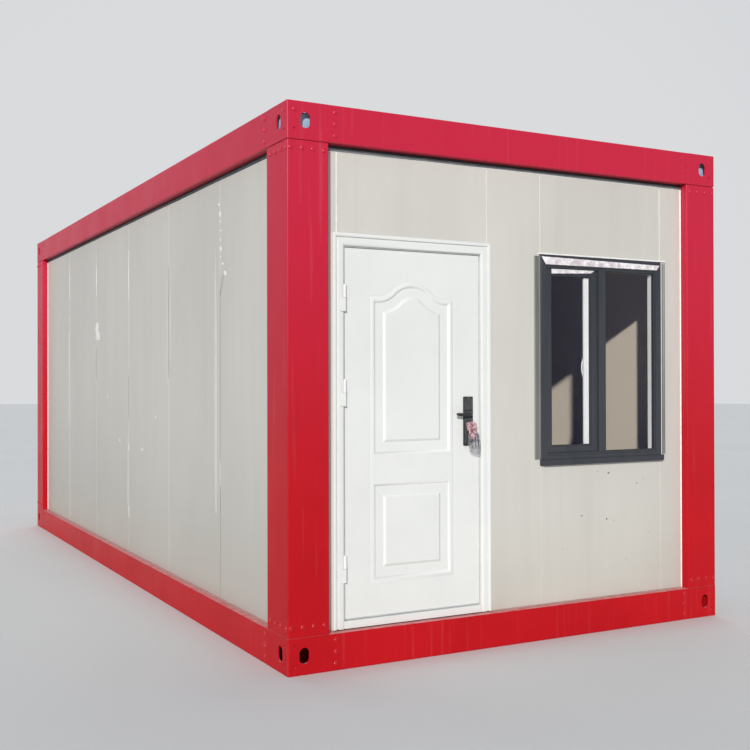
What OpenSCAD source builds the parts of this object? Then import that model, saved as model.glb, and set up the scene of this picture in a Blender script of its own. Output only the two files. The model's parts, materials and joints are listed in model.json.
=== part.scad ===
// Flat-pack steel cabin: a welded corner-fitting frame, bolted posts and beams,
// sandwich panel walls, an outward door and a window.
// Millimetres. X runs across the end, Y along the side, Z up; the door end faces -Y.

/* [Cabin] */
// Width over the end frame
cabin_width = 2990; // [2700:5:3400]
// Length over the side frame
cabin_length = 6055; // [5000:5:9000]
// Height over the corner fittings
cabin_height = 2896; // [2700:1:3200]

/* [Frame] */
// Height of the top beams and top corner fittings
top_beam_height = 194; // [160:1:240]
// Height of the bottom beams and bottom corner fittings
bottom_beam_height = 190; // [160:1:240]
// Depth of every beam, from its outer to its inner face
beam_depth = 140; // [120:1:180]
// Face width of a corner post on the end of the cabin
post_width = 230; // [200:1:260]
// Face width of a corner post on the side of the cabin
post_depth = 240; // [200:1:260]
// Step from the outer face of the frame back to the wall
recess = 60; // [45:1:80]
// Sheet thickness of the posts and beams
steel = 4; // [3:0.5:8]

/* [Corner fittings] */
// Plate thickness of a corner fitting
fitting_plate = 10; // [6:1:14]
// Width of a lifting slot
slot_width = 55; // [40:1:65]
// Length of a lifting slot from end to end
slot_length = 80; // [70:1:100]
// Distance from each outer edge of a fitting to the middle of its slots
slot_inset = 98; // [80:1:110]

/* [Walls] */
// Thickness of a sandwich panel
panel_thickness = 50; // [40:1:75]
// Cover width of a full sandwich panel
panel_cover = 950; // [800:10:1100]
// Width and depth of the bevel along each panel edge
edge_bevel = 3; // [1:0.5:6]
// Height of the seal strip under the top beams
seal_height = 30; // [15:1:50]
// Thickness of the seal strip
seal_thickness = 5; // [2:1:10]

/* [Door] */
// Distance from the left corner of the cabin to the door opening
door_offset = 314; // [290:1:420]
// Width of the leaf
leaf_width = 852; // [700:1:900]
// Height of the leaf
leaf_height = 1937; // [1800:1:2100]
// Thickness of the leaf
leaf_thickness = 48; // [40:1:60]
// Face width of the jambs and the head of the door frame
jamb_face = 66; // [55:1:80]
// Overlap of the door frame's face on the wall panels
frame_lap = 25; // [15:1:40]
// Projection of the door frame in front of the wall
frame_proud = 12; // [5:1:20]
// Height of the threshold
threshold_height = 44; // [25:1:80]
// Gap between the leaf and the frame
door_gap = 8; // [7:0.5:12]
// Step from the wall back to the face of the leaf
leaf_setback = 6; // [0:1:10]
// Width and thickness of the stop that the leaf closes against
door_stop = 16; // [12:1:24]
// Width of the shadow groove round the door frame's face
frame_groove = 6; // [3:1:10]
// Depth of the shadow groove
groove_depth = 4; // [2:0.5:6]
// Width of the raised band outside the groove
frame_band = 20; // [12:1:28]

/* [Hinges] */
// Radius of a hinge barrel
barrel_radius = 9; // [7:0.5:10]
// Length of a hinge, both barrels
hinge_length = 140; // [100:1:180]
// Radius of a hinge pin
pin_radius = 5; // [3:0.5:6]
// Clearance round a hinge pin
pin_clearance = 0.3; // [0.1:0.1:0.5]
// Clearance round a hinge barrel
barrel_clearance = 1.5; // [1:0.5:3]
// Thickness of a hinge plate
hinge_plate = 3; // [2:0.5:5]
// Width of a hinge plate beside the barrel
hinge_plate_width = 30; // [20:1:36]
// Heights of the hinges above the bottom of the leaf
hinge_heights = [262, 1178, 1673];

/* [Lock] */
// Distance from the free edge of the leaf to the spindle
backset = 76; // [60:1:100]
// Height of the spindle above the bottom of the leaf
spindle_height = 1056; // [900:1:1200]
// Width of a lock plate
lock_plate_width = 62; // [50:1:80]
// Height of a lock plate
lock_plate_height = 272; // [200:1:320]
// Thickness of a lock plate
lock_plate_thickness = 8; // [5:1:12]
// Height of the lock plate above the spindle
lock_plate_rise = 96; // [60:1:120]
// Radius of the spindle
spindle_radius = 6; // [4:0.5:8]
// Clearance round the spindle
spindle_clearance = 0.5; // [0.3:0.1:1]
// Length of a lever from the spindle to its tip
lever_length = 100; // [80:1:140]
// Diameter of a lever
lever_thickness = 18; // [12:1:22]
// Distance from a lock plate to the middle of its lever
lever_standoff = 32; // [24:1:36]

/* [Window] */
// Distance from the right corner of the cabin to the window
window_offset = 418; // [300:1:500]
// Width of the window frame
window_width = 930; // [700:1:960]
// Height of the window frame
window_height = 1217; // [900:1:1300]
// Height of the window frame above the base of the cabin
window_sill = 990; // [800:1:1150]
// Projection of the window frame in front of the wall
window_proud = 14; // [5:1:25]
// Depth of the window frame
window_depth = 84; // [70:1:110]
// Face width of the window frame's left jamb
window_left_jamb = 45; // [35:1:60]
// Face width of the window frame's right jamb
window_right_jamb = 58; // [40:1:70]
// Face width of the window frame's head
window_head = 72; // [50:1:90]
// Face width of the window frame's bottom rail
window_bottom_rail = 71; // [50:1:90]
// Width of the mullion between the two lights
mullion_width = 67; // [45:1:80]
// Clear width of the right-hand fixed light
fixed_light_width = 373; // [280:1:420]
// Face width of the sash stiles and rails
sash_face = 43; // [30:1:60]
// Face width of the sash stile beside the mullion
meeting_stile = 60; // [40:1:70]
// Step from the face of the window frame back to the sash
sash_setback = 14; // [5:1:20]
// Depth of the sash
sash_depth = 56; // [40:1:60]
// Step from the face of the sash back to the glass
glass_setback = 8; // [5:1:20]
// Thickness of the glass
glass_thickness = 6; // [4:1:10]
// Depth of the groove that holds the glass
glass_bite = 8; // [5:1:12]
// Width of the trims beside the window
trim_width = 42; // [25:1:60]
// Projection of the trims in front of the wall
trim_proud = 6; // [3:1:10]

/* [Roof and floor] */
// Step from the top of the frame down to the roof sheet
roof_drop = 46; // [30:1:70]
// Thickness of the ceiling panel
ceiling_thickness = 12; // [8:1:20]
// Height of a roof rib
rib_height = 26; // [15:1:30]
// Width of a roof rib
rib_width = 64; // [40:1:90]
// Largest distance between two roof ribs
rib_pitch = 480; // [350:10:600]
// Thickness of the floor board
floor_thickness = 20; // [15:1:30]
// Height of a floor joist
joist_height = 120; // [80:1:130]
// Width of a floor joist
joist_width = 60; // [40:1:80]
// Largest distance between two floor joists
joist_pitch = 600; // [400:10:700]

/* [Hidden] */
$fn = 48;
join = 0.01;                        // how far a cutter runs past the face that it opens
half_w = cabin_width / 2;
half_l = cabin_length / 2;
beam_bottom = cabin_height - top_beam_height;
wall_base = bottom_beam_height;
wall_height = beam_bottom - wall_base;
wall_y = recess - half_l;           // outer face of the front wall
inner_face = recess + panel_thickness;
inner_half_l = half_l - inner_face;
side_run = 2 * inner_half_l;
end_run = cabin_width - 2 * recess;

// Full panels from the front end of a side wall, and a last one that fills the rest
side_panels = 6;
function side_width(i) = i < side_panels ? panel_cover : side_run - (i - 1) * panel_cover;
// Full panels from the right end of the back wall, and a last one that fills the rest
back_panels = 3;
function back_width(i) = i < back_panels ? panel_cover : end_run - (i - 1) * panel_cover;

leaf_x = door_offset - half_w + jamb_face - frame_lap + door_gap;
leaf_y = wall_y + leaf_setback;
leaf_z = wall_base + threshold_height + door_gap;
door_clear_width = leaf_width + 2 * door_gap;
door_clear_top = leaf_z + leaf_height + door_gap;
door_left = leaf_x - door_gap;      // inner face of the left jamb
door_opening_width = door_clear_width + 2 * (jamb_face - frame_lap);
door_opening_x = door_offset - half_w;
door_opening_right = door_opening_x + door_opening_width;
door_opening_top = door_clear_top + jamb_face - frame_lap;
frame_back = leaf_setback + leaf_thickness + door_gap + door_stop;

hinge_x = leaf_x - door_gap / 2;
hinge_y = leaf_y - barrel_radius - barrel_clearance;
barrel_length = (hinge_length - barrel_clearance) / 2;
lock_x = leaf_x + leaf_width - backset;
lock_z = leaf_z + spindle_height;

window_right = half_w - window_offset;
window_x = window_right - window_width;
window_top = window_sill + window_height;
window_face = wall_y - window_proud;
light_bottom = window_sill + window_bottom_rail;
light_top = window_top - window_head;
fixed_x = window_right - window_right_jamb - fixed_light_width;
sash_x = window_x + window_left_jamb;
sash_width = fixed_x - mullion_width - sash_x;
glass_y = window_face + sash_setback + glass_setback;

// ---- shared shapes ----

// Moves a shape made for the front left corner to another corner, mirrored to suit
module at_corner(right, back) {
    translate([right ? half_w : -half_w, back ? half_l : -half_l, 0])
        mirror([right ? 1 : 0, 0, 0])
            mirror([0, back ? 1 : 0, 0])
                children();
}

// A box between two corners
module block(low, high) {
    translate(low)
        cube(high - low);
}

// A round-ended slot, long along Z, that reaches along +Y
module slot(reach) {
    half_run = (slot_length - slot_width) / 2;
    for (side = [-1, 1])
        translate([0, 0, side * half_run])
            rotate([-90, 0, 0])
                cylinder(d = slot_width, h = reach);
    translate([-slot_width / 2, 0, -half_run])
        cube([slot_width, reach, 2 * half_run]);
}

// ---- steel frame ----

// A hollow fitting of plate with a slot in its end face, its side face and its outer level face
module corner_fitting(height, at_top) {
    reach = fitting_plate + 2 * join;
    slot_z = at_top ? height - slot_inset : slot_inset;
    level_z = at_top ? height - fitting_plate - join : -join;
    difference() {
        cube([post_width, post_depth, height]);
        translate([fitting_plate, fitting_plate, fitting_plate])
            cube([post_width, post_depth, height] - 2 * fitting_plate * [1, 1, 1]);
        translate([slot_inset, -join, slot_z])
            slot(reach);
        translate([-join, slot_inset, slot_z])
            rotate([0, 0, -90])
                slot(reach);
        translate([slot_inset, slot_inset, level_z])
            rotate([90, 0, 0])
                slot(reach);
    }
}

// The bottom and top fittings of one corner
module corner_fittings(right, back) {
    color("crimson")
        at_corner(right, back) {
            corner_fitting(bottom_beam_height, false);
            translate([0, 0, beam_bottom])
                corner_fitting(top_beam_height, true);
        }
}

// The plan of a post: two faces that meet at the corner, with a return to the wall on each
module post_plan(inset) {
    polygon([
        [inset, inset],
        [post_width - inset, inset],
        [post_width - inset, recess - inset],
        [recess - inset, recess - inset],
        [recess - inset, post_depth - inset],
        [inset, post_depth - inset]
    ]);
}

module post(right, back) {
    color("firebrick")
        at_corner(right, back)
            translate([0, 0, wall_base])
                linear_extrude(wall_height)
                    difference() {
                        post_plan(0);
                        post_plan(steel);
                    }
}

// A hollow beam from its low to its high corner, open at the ends that lie along X or Y
module beam(low, high, along_x) {
    wall = along_x ? [0, steel, steel] : [steel, 0, steel];
    past = along_x ? [join, 0, 0] : [0, join, 0];
    color("brown")
        difference() {
            block(low, high);
            block(low + wall - past, high - wall + past);
        }
}

// A beam across the end of the cabin; it is made at the front and turned for the back
module end_beam(back, base, height) {
    reach = half_w - post_width;
    rotate([0, 0, back ? 180 : 0])
        beam([-reach, -half_l, base], [reach, beam_depth - half_l, base + height], true);
}

// A beam along a side of the cabin; it is made at the left and turned for the right
module side_beam(right, base, height) {
    reach = half_l - post_depth;
    rotate([0, 0, right ? 180 : 0])
        beam([-half_w, -reach, base], [beam_depth - half_w, reach, base + height], false);
}

// ---- walls ----

// A sandwich panel from the origin along X, with bevelled upright edges
module panel(width, height) {
    back = panel_thickness;
    linear_extrude(height)
        polygon([
            [edge_bevel, 0], [width - edge_bevel, 0],
            [width, edge_bevel], [width, back - edge_bevel],
            [width - edge_bevel, back], [edge_bevel, back],
            [0, back - edge_bevel], [0, edge_bevel]
        ]);
}

// A panel of the front wall between two places along X and two heights
module front_panel(left, right, base, top) {
    color("gainsboro")
        translate([left, wall_y, base])
            panel(right - left, top - base);
}

// Panel i of the left wall, counted from the front
module left_wall_panel(i) {
    color(i % 2 == 0 ? "lightgray" : "gainsboro")
        translate([recess - half_w, -inner_half_l + (i - 1) * panel_cover + side_width(i), wall_base])
            rotate([0, 0, -90])
                panel(side_width(i), wall_height);
}

// Panel i of the right wall, counted from the front
module right_wall_panel(i) {
    color(i % 2 == 0 ? "lightgray" : "gainsboro")
        translate([half_w - recess, -inner_half_l + (i - 1) * panel_cover, wall_base])
            rotate([0, 0, 90])
                panel(side_width(i), wall_height);
}

// Panel i of the back wall, counted from the right as seen from the front
module back_wall_panel(i) {
    color(i % 2 == 0 ? "lightgray" : "gainsboro")
        translate([end_run / 2 - (i - 1) * panel_cover, half_l - recess, wall_base])
            rotate([0, 0, 180])
                panel(back_width(i), wall_height);
}

// Dark strips in the corner between each wall and the beam above it
module head_seals() {
    base = beam_bottom - seal_height;
    end_reach = half_w - post_width;
    side_reach = half_l - post_depth;
    face_x = recess - half_w;
    color("dimgray")
        for (turn = [0, 180])
            rotate([0, 0, turn]) {
                block([-end_reach, wall_y - seal_thickness, base], [end_reach, wall_y, beam_bottom]);
                block([face_x - seal_thickness, -side_reach, base], [face_x, side_reach, beam_bottom]);
            }
}

// ---- roof and floor ----

// A level slab between the beams, cut round the corner fittings
module level_slab(base, top) {
    reach_x = half_w - beam_depth;
    reach_y = half_l - beam_depth;
    notch = [post_width, post_depth, top - base + 2 * join];
    difference() {
        block([-reach_x, -reach_y, base], [reach_x, reach_y, top]);
        for (right = [false, true])
            for (back = [false, true])
                at_corner(right, back)
                    translate([0, 0, base - join])
                        cube(notch);
    }
}

// Places of evenly spaced members between the corner fittings
function member_places(width, pitch) =
    let (run = 2 * (half_l - post_depth) - width, steps = ceil(run / pitch))
    [for (i = [0 : steps]) -run / 2 + i * run / steps];

module roof_sheet() {
    top = cabin_height - roof_drop;
    reach_x = half_w - beam_depth;
    color("silver") {
        level_slab(beam_bottom + ceiling_thickness, top);
        for (y = member_places(rib_width, rib_pitch))
            translate([-reach_x, y, top])
                rotate([90, 0, 90])
                    linear_extrude(2 * reach_x)
                        polygon([
                            [-rib_width / 2, 0], [rib_width / 2, 0],
                            [rib_width / 4, rib_height], [-rib_width / 4, rib_height]
                        ]);
    }
}

module ceiling_panel() {
    color("whitesmoke")
        level_slab(beam_bottom, beam_bottom + ceiling_thickness);
}

module floor_board() {
    color("tan")
        level_slab(wall_base - floor_thickness, wall_base);
}

module floor_joists() {
    top = wall_base - floor_thickness;
    reach_x = half_w - beam_depth;
    half = joist_width / 2;
    color("slategray")
        for (y = member_places(joist_width, joist_pitch))
            block([-reach_x, y - half, top - joist_height], [reach_x, y + half, top]);
}

// ---- door ----

// The ring of the door frame's face, drawn inwards by an inset from its outer edge
module door_face_plan(inset) {
    left = door_left - jamb_face + inset;
    right = door_left + door_clear_width + jamb_face - inset;
    translate([left, inset > 0 ? -join : 0])
        square([right - left, door_clear_top + jamb_face - wall_base - inset + (inset > 0 ? join : 0)]);
}

// Stands a plan drawn in X and Z above the wall base, from one Y to another
module upright(from_y, to_y) {
    translate([0, to_y, wall_base])
        rotate([90, 0, 0])
            linear_extrude(to_y - from_y)
                children();
}

module door_frame() {
    face_y = wall_y - frame_proud;
    stop_y = leaf_y + leaf_thickness + door_gap;
    back_y = wall_y + frame_back;
    clear_z = leaf_z - door_gap;
    color("white")
        difference() {
            union() {
                upright(face_y, wall_y)
                    door_face_plan(0);
                block([door_opening_x, wall_y, wall_base],
                    [door_opening_right, back_y, door_opening_top]);
            }
            block([door_left, face_y - join, clear_z],
                [door_left + door_clear_width, stop_y, door_clear_top]);
            block([door_left + door_stop, stop_y - join, clear_z + door_stop],
                [door_left + door_clear_width - door_stop, back_y + join, door_clear_top - door_stop]);
            upright(face_y - join, face_y + groove_depth)
                difference() {
                    door_face_plan(frame_band);
                    door_face_plan(frame_band + frame_groove);
                }
            for (height = hinge_heights)
                translate([hinge_x, hinge_y, leaf_z + height - hinge_length / 2 - barrel_clearance])
                    cylinder(r = barrel_radius + barrel_clearance, h = hinge_length + 2 * barrel_clearance);
        }
}

// The lower barrel of each hinge with its pin, on a plate that lies on the door frame's face
module frame_hinge_barrels() {
    face_y = wall_y - frame_proud;
    color("white")
        for (height = hinge_heights)
            translate([0, 0, leaf_z + height - hinge_length / 2]) {
                translate([hinge_x, hinge_y, 0]) {
                    cylinder(r = barrel_radius, h = barrel_length);
                    cylinder(r = pin_radius, h = hinge_length - barrel_radius);
                }
                block([hinge_x - hinge_plate_width, face_y - hinge_plate, 0], [hinge_x, face_y, barrel_length]);
            }
}

// The upper barrel of each hinge, on a plate that lies on the leaf's face
module leaf_hinge_barrels() {
    color("gainsboro")
        for (height = hinge_heights)
            translate([0, 0, leaf_z + height + hinge_length / 2 - barrel_length])
                difference() {
                    union() {
                        translate([hinge_x, hinge_y, 0])
                            cylinder(r = barrel_radius, h = barrel_length);
                        block([hinge_x, leaf_y - hinge_plate, 0],
                            [hinge_x + hinge_plate_width, leaf_y, barrel_length]);
                    }
                    translate([hinge_x, hinge_y, -join])
                        cylinder(r = pin_radius + pin_clearance, h = barrel_length + 2 * join);
                }
}

// A hole for the spindle along Y
module spindle_hole(from_y, to_y) {
    translate([lock_x, from_y - join, lock_z])
        rotate([-90, 0, 0])
            cylinder(r = spindle_radius + spindle_clearance, h = to_y - from_y + 2 * join);
}

module door_leaf() {
    back_y = leaf_y + leaf_thickness;
    color("ghostwhite")
        difference() {
            block([leaf_x, leaf_y, leaf_z], [leaf_x + leaf_width, back_y, leaf_z + leaf_height]);
            spindle_hole(leaf_y, back_y);
        }
}

// The outside and inside lock plates
module lock_plates() {
    half = lock_plate_width / 2;
    top = lock_z + lock_plate_rise;
    color("darkslategray")
        for (face_y = [leaf_y - lock_plate_thickness, leaf_y + leaf_thickness])
            difference() {
                block([lock_x - half, face_y, top - lock_plate_height],
                    [lock_x + half, face_y + lock_plate_thickness, top]);
                spindle_hole(face_y, face_y + lock_plate_thickness);
            }
}

// The outside and inside levers on one spindle
module lever_handle() {
    reach = leaf_thickness / 2 + lock_plate_thickness + lever_standoff;
    neck = lever_standoff - spindle_clearance;
    color("black")
        translate([lock_x, leaf_y + leaf_thickness / 2, lock_z]) {
            rotate([90, 0, 0])
                cylinder(r = spindle_radius, h = 2 * reach, center = true);
            for (side = [-1, 1])
                translate([0, side * reach, 0]) {
                    rotate([side * 90, 0, 0])
                        cylinder(d = lever_thickness, h = neck);
                    rotate([0, -90, 0])
                        cylinder(d = lever_thickness, h = lever_length);
                    sphere(d = lever_thickness);
                }
        }
}

// ---- window ----

// A glass pane with its edges in the groove round a light
module pane(left, width, base, height) {
    block([left - glass_bite, glass_y, base - glass_bite],
        [left + width + glass_bite, glass_y + glass_thickness, base + height + glass_bite]);
}

module window_frame() {
    back_y = window_face + window_depth;
    light_height = light_top - light_bottom;
    color("darkslategray")
        difference() {
            block([window_x, window_face, window_sill], [window_right, back_y, window_top]);
            block([sash_x, window_face - join, light_bottom], [sash_x + sash_width, back_y + join, light_top]);
            block([fixed_x, window_face - join, light_bottom],
                [fixed_x + fixed_light_width, back_y + join, light_top]);
            pane(fixed_x, fixed_light_width, light_bottom, light_height);
        }
}

// The ring of the sash in the left-hand light
module window_sash() {
    face_y = window_face + sash_setback;
    back_y = face_y + sash_depth;
    color("slategray")
        difference() {
            block([sash_x, face_y, light_bottom], [sash_x + sash_width, back_y, light_top]);
            block([sash_x + sash_face, face_y - join, light_bottom + sash_face],
                [sash_x + sash_width - meeting_stile, back_y + join, light_top - sash_face]);
            sash_pane();
        }
}

module sash_pane() {
    pane(sash_x + sash_face, sash_width - sash_face - meeting_stile,
        light_bottom + sash_face, light_top - light_bottom - 2 * sash_face);
}

module window_glass() {
    color("lightblue", 0.5) {
        sash_pane();
        pane(fixed_x, fixed_light_width, light_bottom, light_top - light_bottom);
    }
}

// Upright cover strips on the wall at each side of the window frame
module window_trims() {
    color("darkgray")
        for (left = [window_x - trim_width, window_x + window_width])
            block([left, wall_y - trim_proud, window_sill], [left + trim_width, wall_y, window_top]);
}

corner_fittings(false, false);  // corner_fittings_front_left
corner_fittings(true, false);  // corner_fittings_front_right
corner_fittings(false, true);  // corner_fittings_back_left
corner_fittings(true, true);  // corner_fittings_back_right
post(false, false);  // post_front_left
post(true, false);  // post_front_right
post(false, true);  // post_back_left
post(true, true);  // post_back_right
end_beam(false, beam_bottom, top_beam_height);  // top_beam_front
end_beam(true, beam_bottom, top_beam_height);  // top_beam_back
side_beam(false, beam_bottom, top_beam_height);  // top_beam_left
side_beam(true, beam_bottom, top_beam_height);  // top_beam_right
end_beam(false, 0, bottom_beam_height);  // bottom_beam_front
end_beam(true, 0, bottom_beam_height);  // bottom_beam_back
side_beam(false, 0, bottom_beam_height);  // bottom_beam_left
side_beam(true, 0, bottom_beam_height);  // bottom_beam_right
front_panel(recess - half_w, door_opening_x, wall_base, beam_bottom);  // front_wall_left
front_panel(door_opening_x, door_opening_right, door_opening_top, beam_bottom);  // front_wall_over_door
front_panel(door_opening_right, window_x, wall_base, beam_bottom);  // front_wall_middle
front_panel(window_x, window_right, wall_base, window_sill);  // front_wall_under_window
front_panel(window_x, window_right, window_top, beam_bottom);  // front_wall_over_window
front_panel(window_right, half_w - recess, wall_base, beam_bottom);  // front_wall_right
left_wall_panel(1);  // left_wall_panel_1
left_wall_panel(2);  // left_wall_panel_2
left_wall_panel(3);  // left_wall_panel_3
left_wall_panel(4);  // left_wall_panel_4
left_wall_panel(5);  // left_wall_panel_5
left_wall_panel(6);  // left_wall_panel_6
right_wall_panel(1);  // right_wall_panel_1
right_wall_panel(2);  // right_wall_panel_2
right_wall_panel(3);  // right_wall_panel_3
right_wall_panel(4);  // right_wall_panel_4
right_wall_panel(5);  // right_wall_panel_5
right_wall_panel(6);  // right_wall_panel_6
back_wall_panel(1);  // back_wall_panel_1
back_wall_panel(2);  // back_wall_panel_2
back_wall_panel(3);  // back_wall_panel_3
head_seals();
roof_sheet();
ceiling_panel();
floor_board();
floor_joists();
door_frame();
frame_hinge_barrels();
door_leaf();
leaf_hinge_barrels();
lock_plates();
lever_handle();
window_frame();
window_trims();
window_sash();
window_glass();
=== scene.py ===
"""Looks of a flat-pack container cabin: red frame, sandwich walls, pressed steel door, two-light window."""

import json
import logging
import math
import random
from dataclasses import dataclass, replace
from enum import Enum
from functools import cached_property
from typing import Callable, Iterable, Sequence

import bmesh
import bpy
from mathutils import Matrix, Vector, noise
from mathutils.geometry import tessellate_polygon


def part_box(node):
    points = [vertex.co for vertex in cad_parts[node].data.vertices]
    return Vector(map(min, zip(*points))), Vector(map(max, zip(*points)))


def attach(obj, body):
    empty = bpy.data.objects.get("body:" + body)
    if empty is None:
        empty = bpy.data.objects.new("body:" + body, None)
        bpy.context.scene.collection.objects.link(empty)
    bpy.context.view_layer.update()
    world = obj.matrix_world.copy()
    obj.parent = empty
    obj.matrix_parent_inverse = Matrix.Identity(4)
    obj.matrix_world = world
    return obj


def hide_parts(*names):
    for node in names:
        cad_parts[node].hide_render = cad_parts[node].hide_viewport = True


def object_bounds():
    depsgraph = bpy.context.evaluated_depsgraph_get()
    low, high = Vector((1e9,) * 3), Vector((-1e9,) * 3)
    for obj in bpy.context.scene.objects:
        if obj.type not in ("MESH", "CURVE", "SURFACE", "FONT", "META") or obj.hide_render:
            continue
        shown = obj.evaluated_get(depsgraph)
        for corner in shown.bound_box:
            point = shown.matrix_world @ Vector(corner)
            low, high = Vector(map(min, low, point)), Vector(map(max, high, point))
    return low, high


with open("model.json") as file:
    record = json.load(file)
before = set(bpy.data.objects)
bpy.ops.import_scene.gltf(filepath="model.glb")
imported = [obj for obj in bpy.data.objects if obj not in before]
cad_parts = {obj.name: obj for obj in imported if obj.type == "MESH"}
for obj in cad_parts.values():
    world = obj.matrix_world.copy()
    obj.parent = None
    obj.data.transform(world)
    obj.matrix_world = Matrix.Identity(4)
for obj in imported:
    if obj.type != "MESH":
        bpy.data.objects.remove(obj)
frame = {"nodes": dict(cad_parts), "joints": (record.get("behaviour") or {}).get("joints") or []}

MM = 0.001
LOG = logging.getLogger("cabin")
CAD_BOX = [list(corner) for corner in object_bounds()]
CABIN_LOW, CABIN_HIGH = (Vector(corner) for corner in CAD_BOX)

# Sockets of a colour Mix node, whose names repeat for each kind of value
FACTOR, FIRST, SECOND, MIXED = 0, 6, 7, 2

# Settings that several nodes share
COLOURS = {"data_type": "RGBA"}
SMOOTH = {"interpolation_type": "SMOOTHSTEP"}

Flat = tuple[float, float]
Tree = bpy.types.NodeTree
Socket = bpy.types.NodeSocket
Row = list[bmesh.types.BMVert]


class Body(Enum):
    """The bodies that pieces ride on."""

    CABIN = "cabin"
    DOOR = "door"
    LEVER = "lever"


class Slot(Enum):
    """The record's material slots."""

    FRAME_RED = "frame_red"
    WALL_PANEL = "wall_panel"
    SEAL_STRIP = "seal_strip"
    ROOF_METAL = "roof_metal"
    CEILING_WHITE = "ceiling_white"
    FLOOR_COVERING = "floor_covering"
    JOIST_STEEL = "joist_steel"
    DOOR_WHITE = "door_white"
    HINGE_WHITE = "hinge_white"
    LOCK_BLACK = "lock_black"
    WINDOW_GREY = "window_grey"
    TRIM_GREY = "trim_grey"
    WINDOW_GLASS = "window_glass"


class Axis(Enum):
    """The line that a prism runs along. Its outline's two numbers take the other two directions in order."""

    X = 0
    Y = 1
    Z = 2

    def place(self, first: float, second: float, along: float) -> Vector:
        """Returns the point that lies at two outline numbers and a distance along the line."""
        numbers = [first, second]
        numbers.insert(self.value, along)
        return Vector(numbers)


class Corner(Enum):
    """A corner of the cabin, as whether it is at the right and whether it is at the back."""

    FRONT_LEFT = (False, False)
    FRONT_RIGHT = (True, False)
    BACK_LEFT = (False, True)
    BACK_RIGHT = (True, True)

    @property
    def label(self) -> str:
        """The corner's name in node and piece names."""
        return self.name.lower()

    def place(self, across: float, inward: float, height: float) -> Vector:
        """Returns the point at distances in from the corner's side face and from its end face."""
        right, back = self.value
        x = CABIN_HIGH.x - across if right else CABIN_LOW.x + across
        y = CABIN_HIGH.y - inward if back else CABIN_LOW.y + inward
        return Vector((x, y, height))

    def plan(self, outline: Sequence[Flat]) -> list[Flat]:
        """Returns X and Y of an outline that is given by distances in from the corner's two faces."""
        return [tuple(self.place(across, inward, 0.0).xy) for across, inward in outline]

    def outward(self, on_end: bool) -> Vector:
        """Returns the direction that the corner's end face or side face looks in."""
        right, back = self.value
        if on_end:
            return Vector((0, 1 if back else -1, 0))
        return Vector((1 if right else -1, 0, 0))


# ---- colours and finishes ----

def linear(code: str) -> tuple[float, float, float, float]:
    """Turns an sRGB colour into the linear one that shaders take.

    Args:
        code: The colour as six hex digits after a hash sign.

    Returns:
        Linear red, green and blue, and an alpha of 1.
    """
    channels = [int(code[start:start + 2], 16) / 255 for start in (1, 3, 5)]
    red, green, blue = (c / 12.92 if c <= 0.04045 else ((c + 0.055) / 1.055) ** 2.4 for c in channels)
    return red, green, blue, 1.0


def add_node(tree: Tree, kind: str, settings: dict | None = None,
             inputs: dict | None = None) -> bpy.types.Node:
    """Adds a shader node with its settings and inputs.

    Args:
        tree: The node tree that takes it.
        kind: Its type, without the ShaderNode that all types begin with.
        settings: Its properties, by name.
        inputs: Its sockets, by name or number, each with a value or with the socket that feeds it.

    Returns:
        The new node.
    """
    node = tree.nodes.new("ShaderNode" + kind)
    for name, value in (settings or {}).items():
        setattr(node, name, value)
    for key, value in (inputs or {}).items():
        if isinstance(value, Socket):
            tree.links.new(value, node.inputs[key])
        else:
            node.inputs[key].default_value = value
    return node


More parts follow.
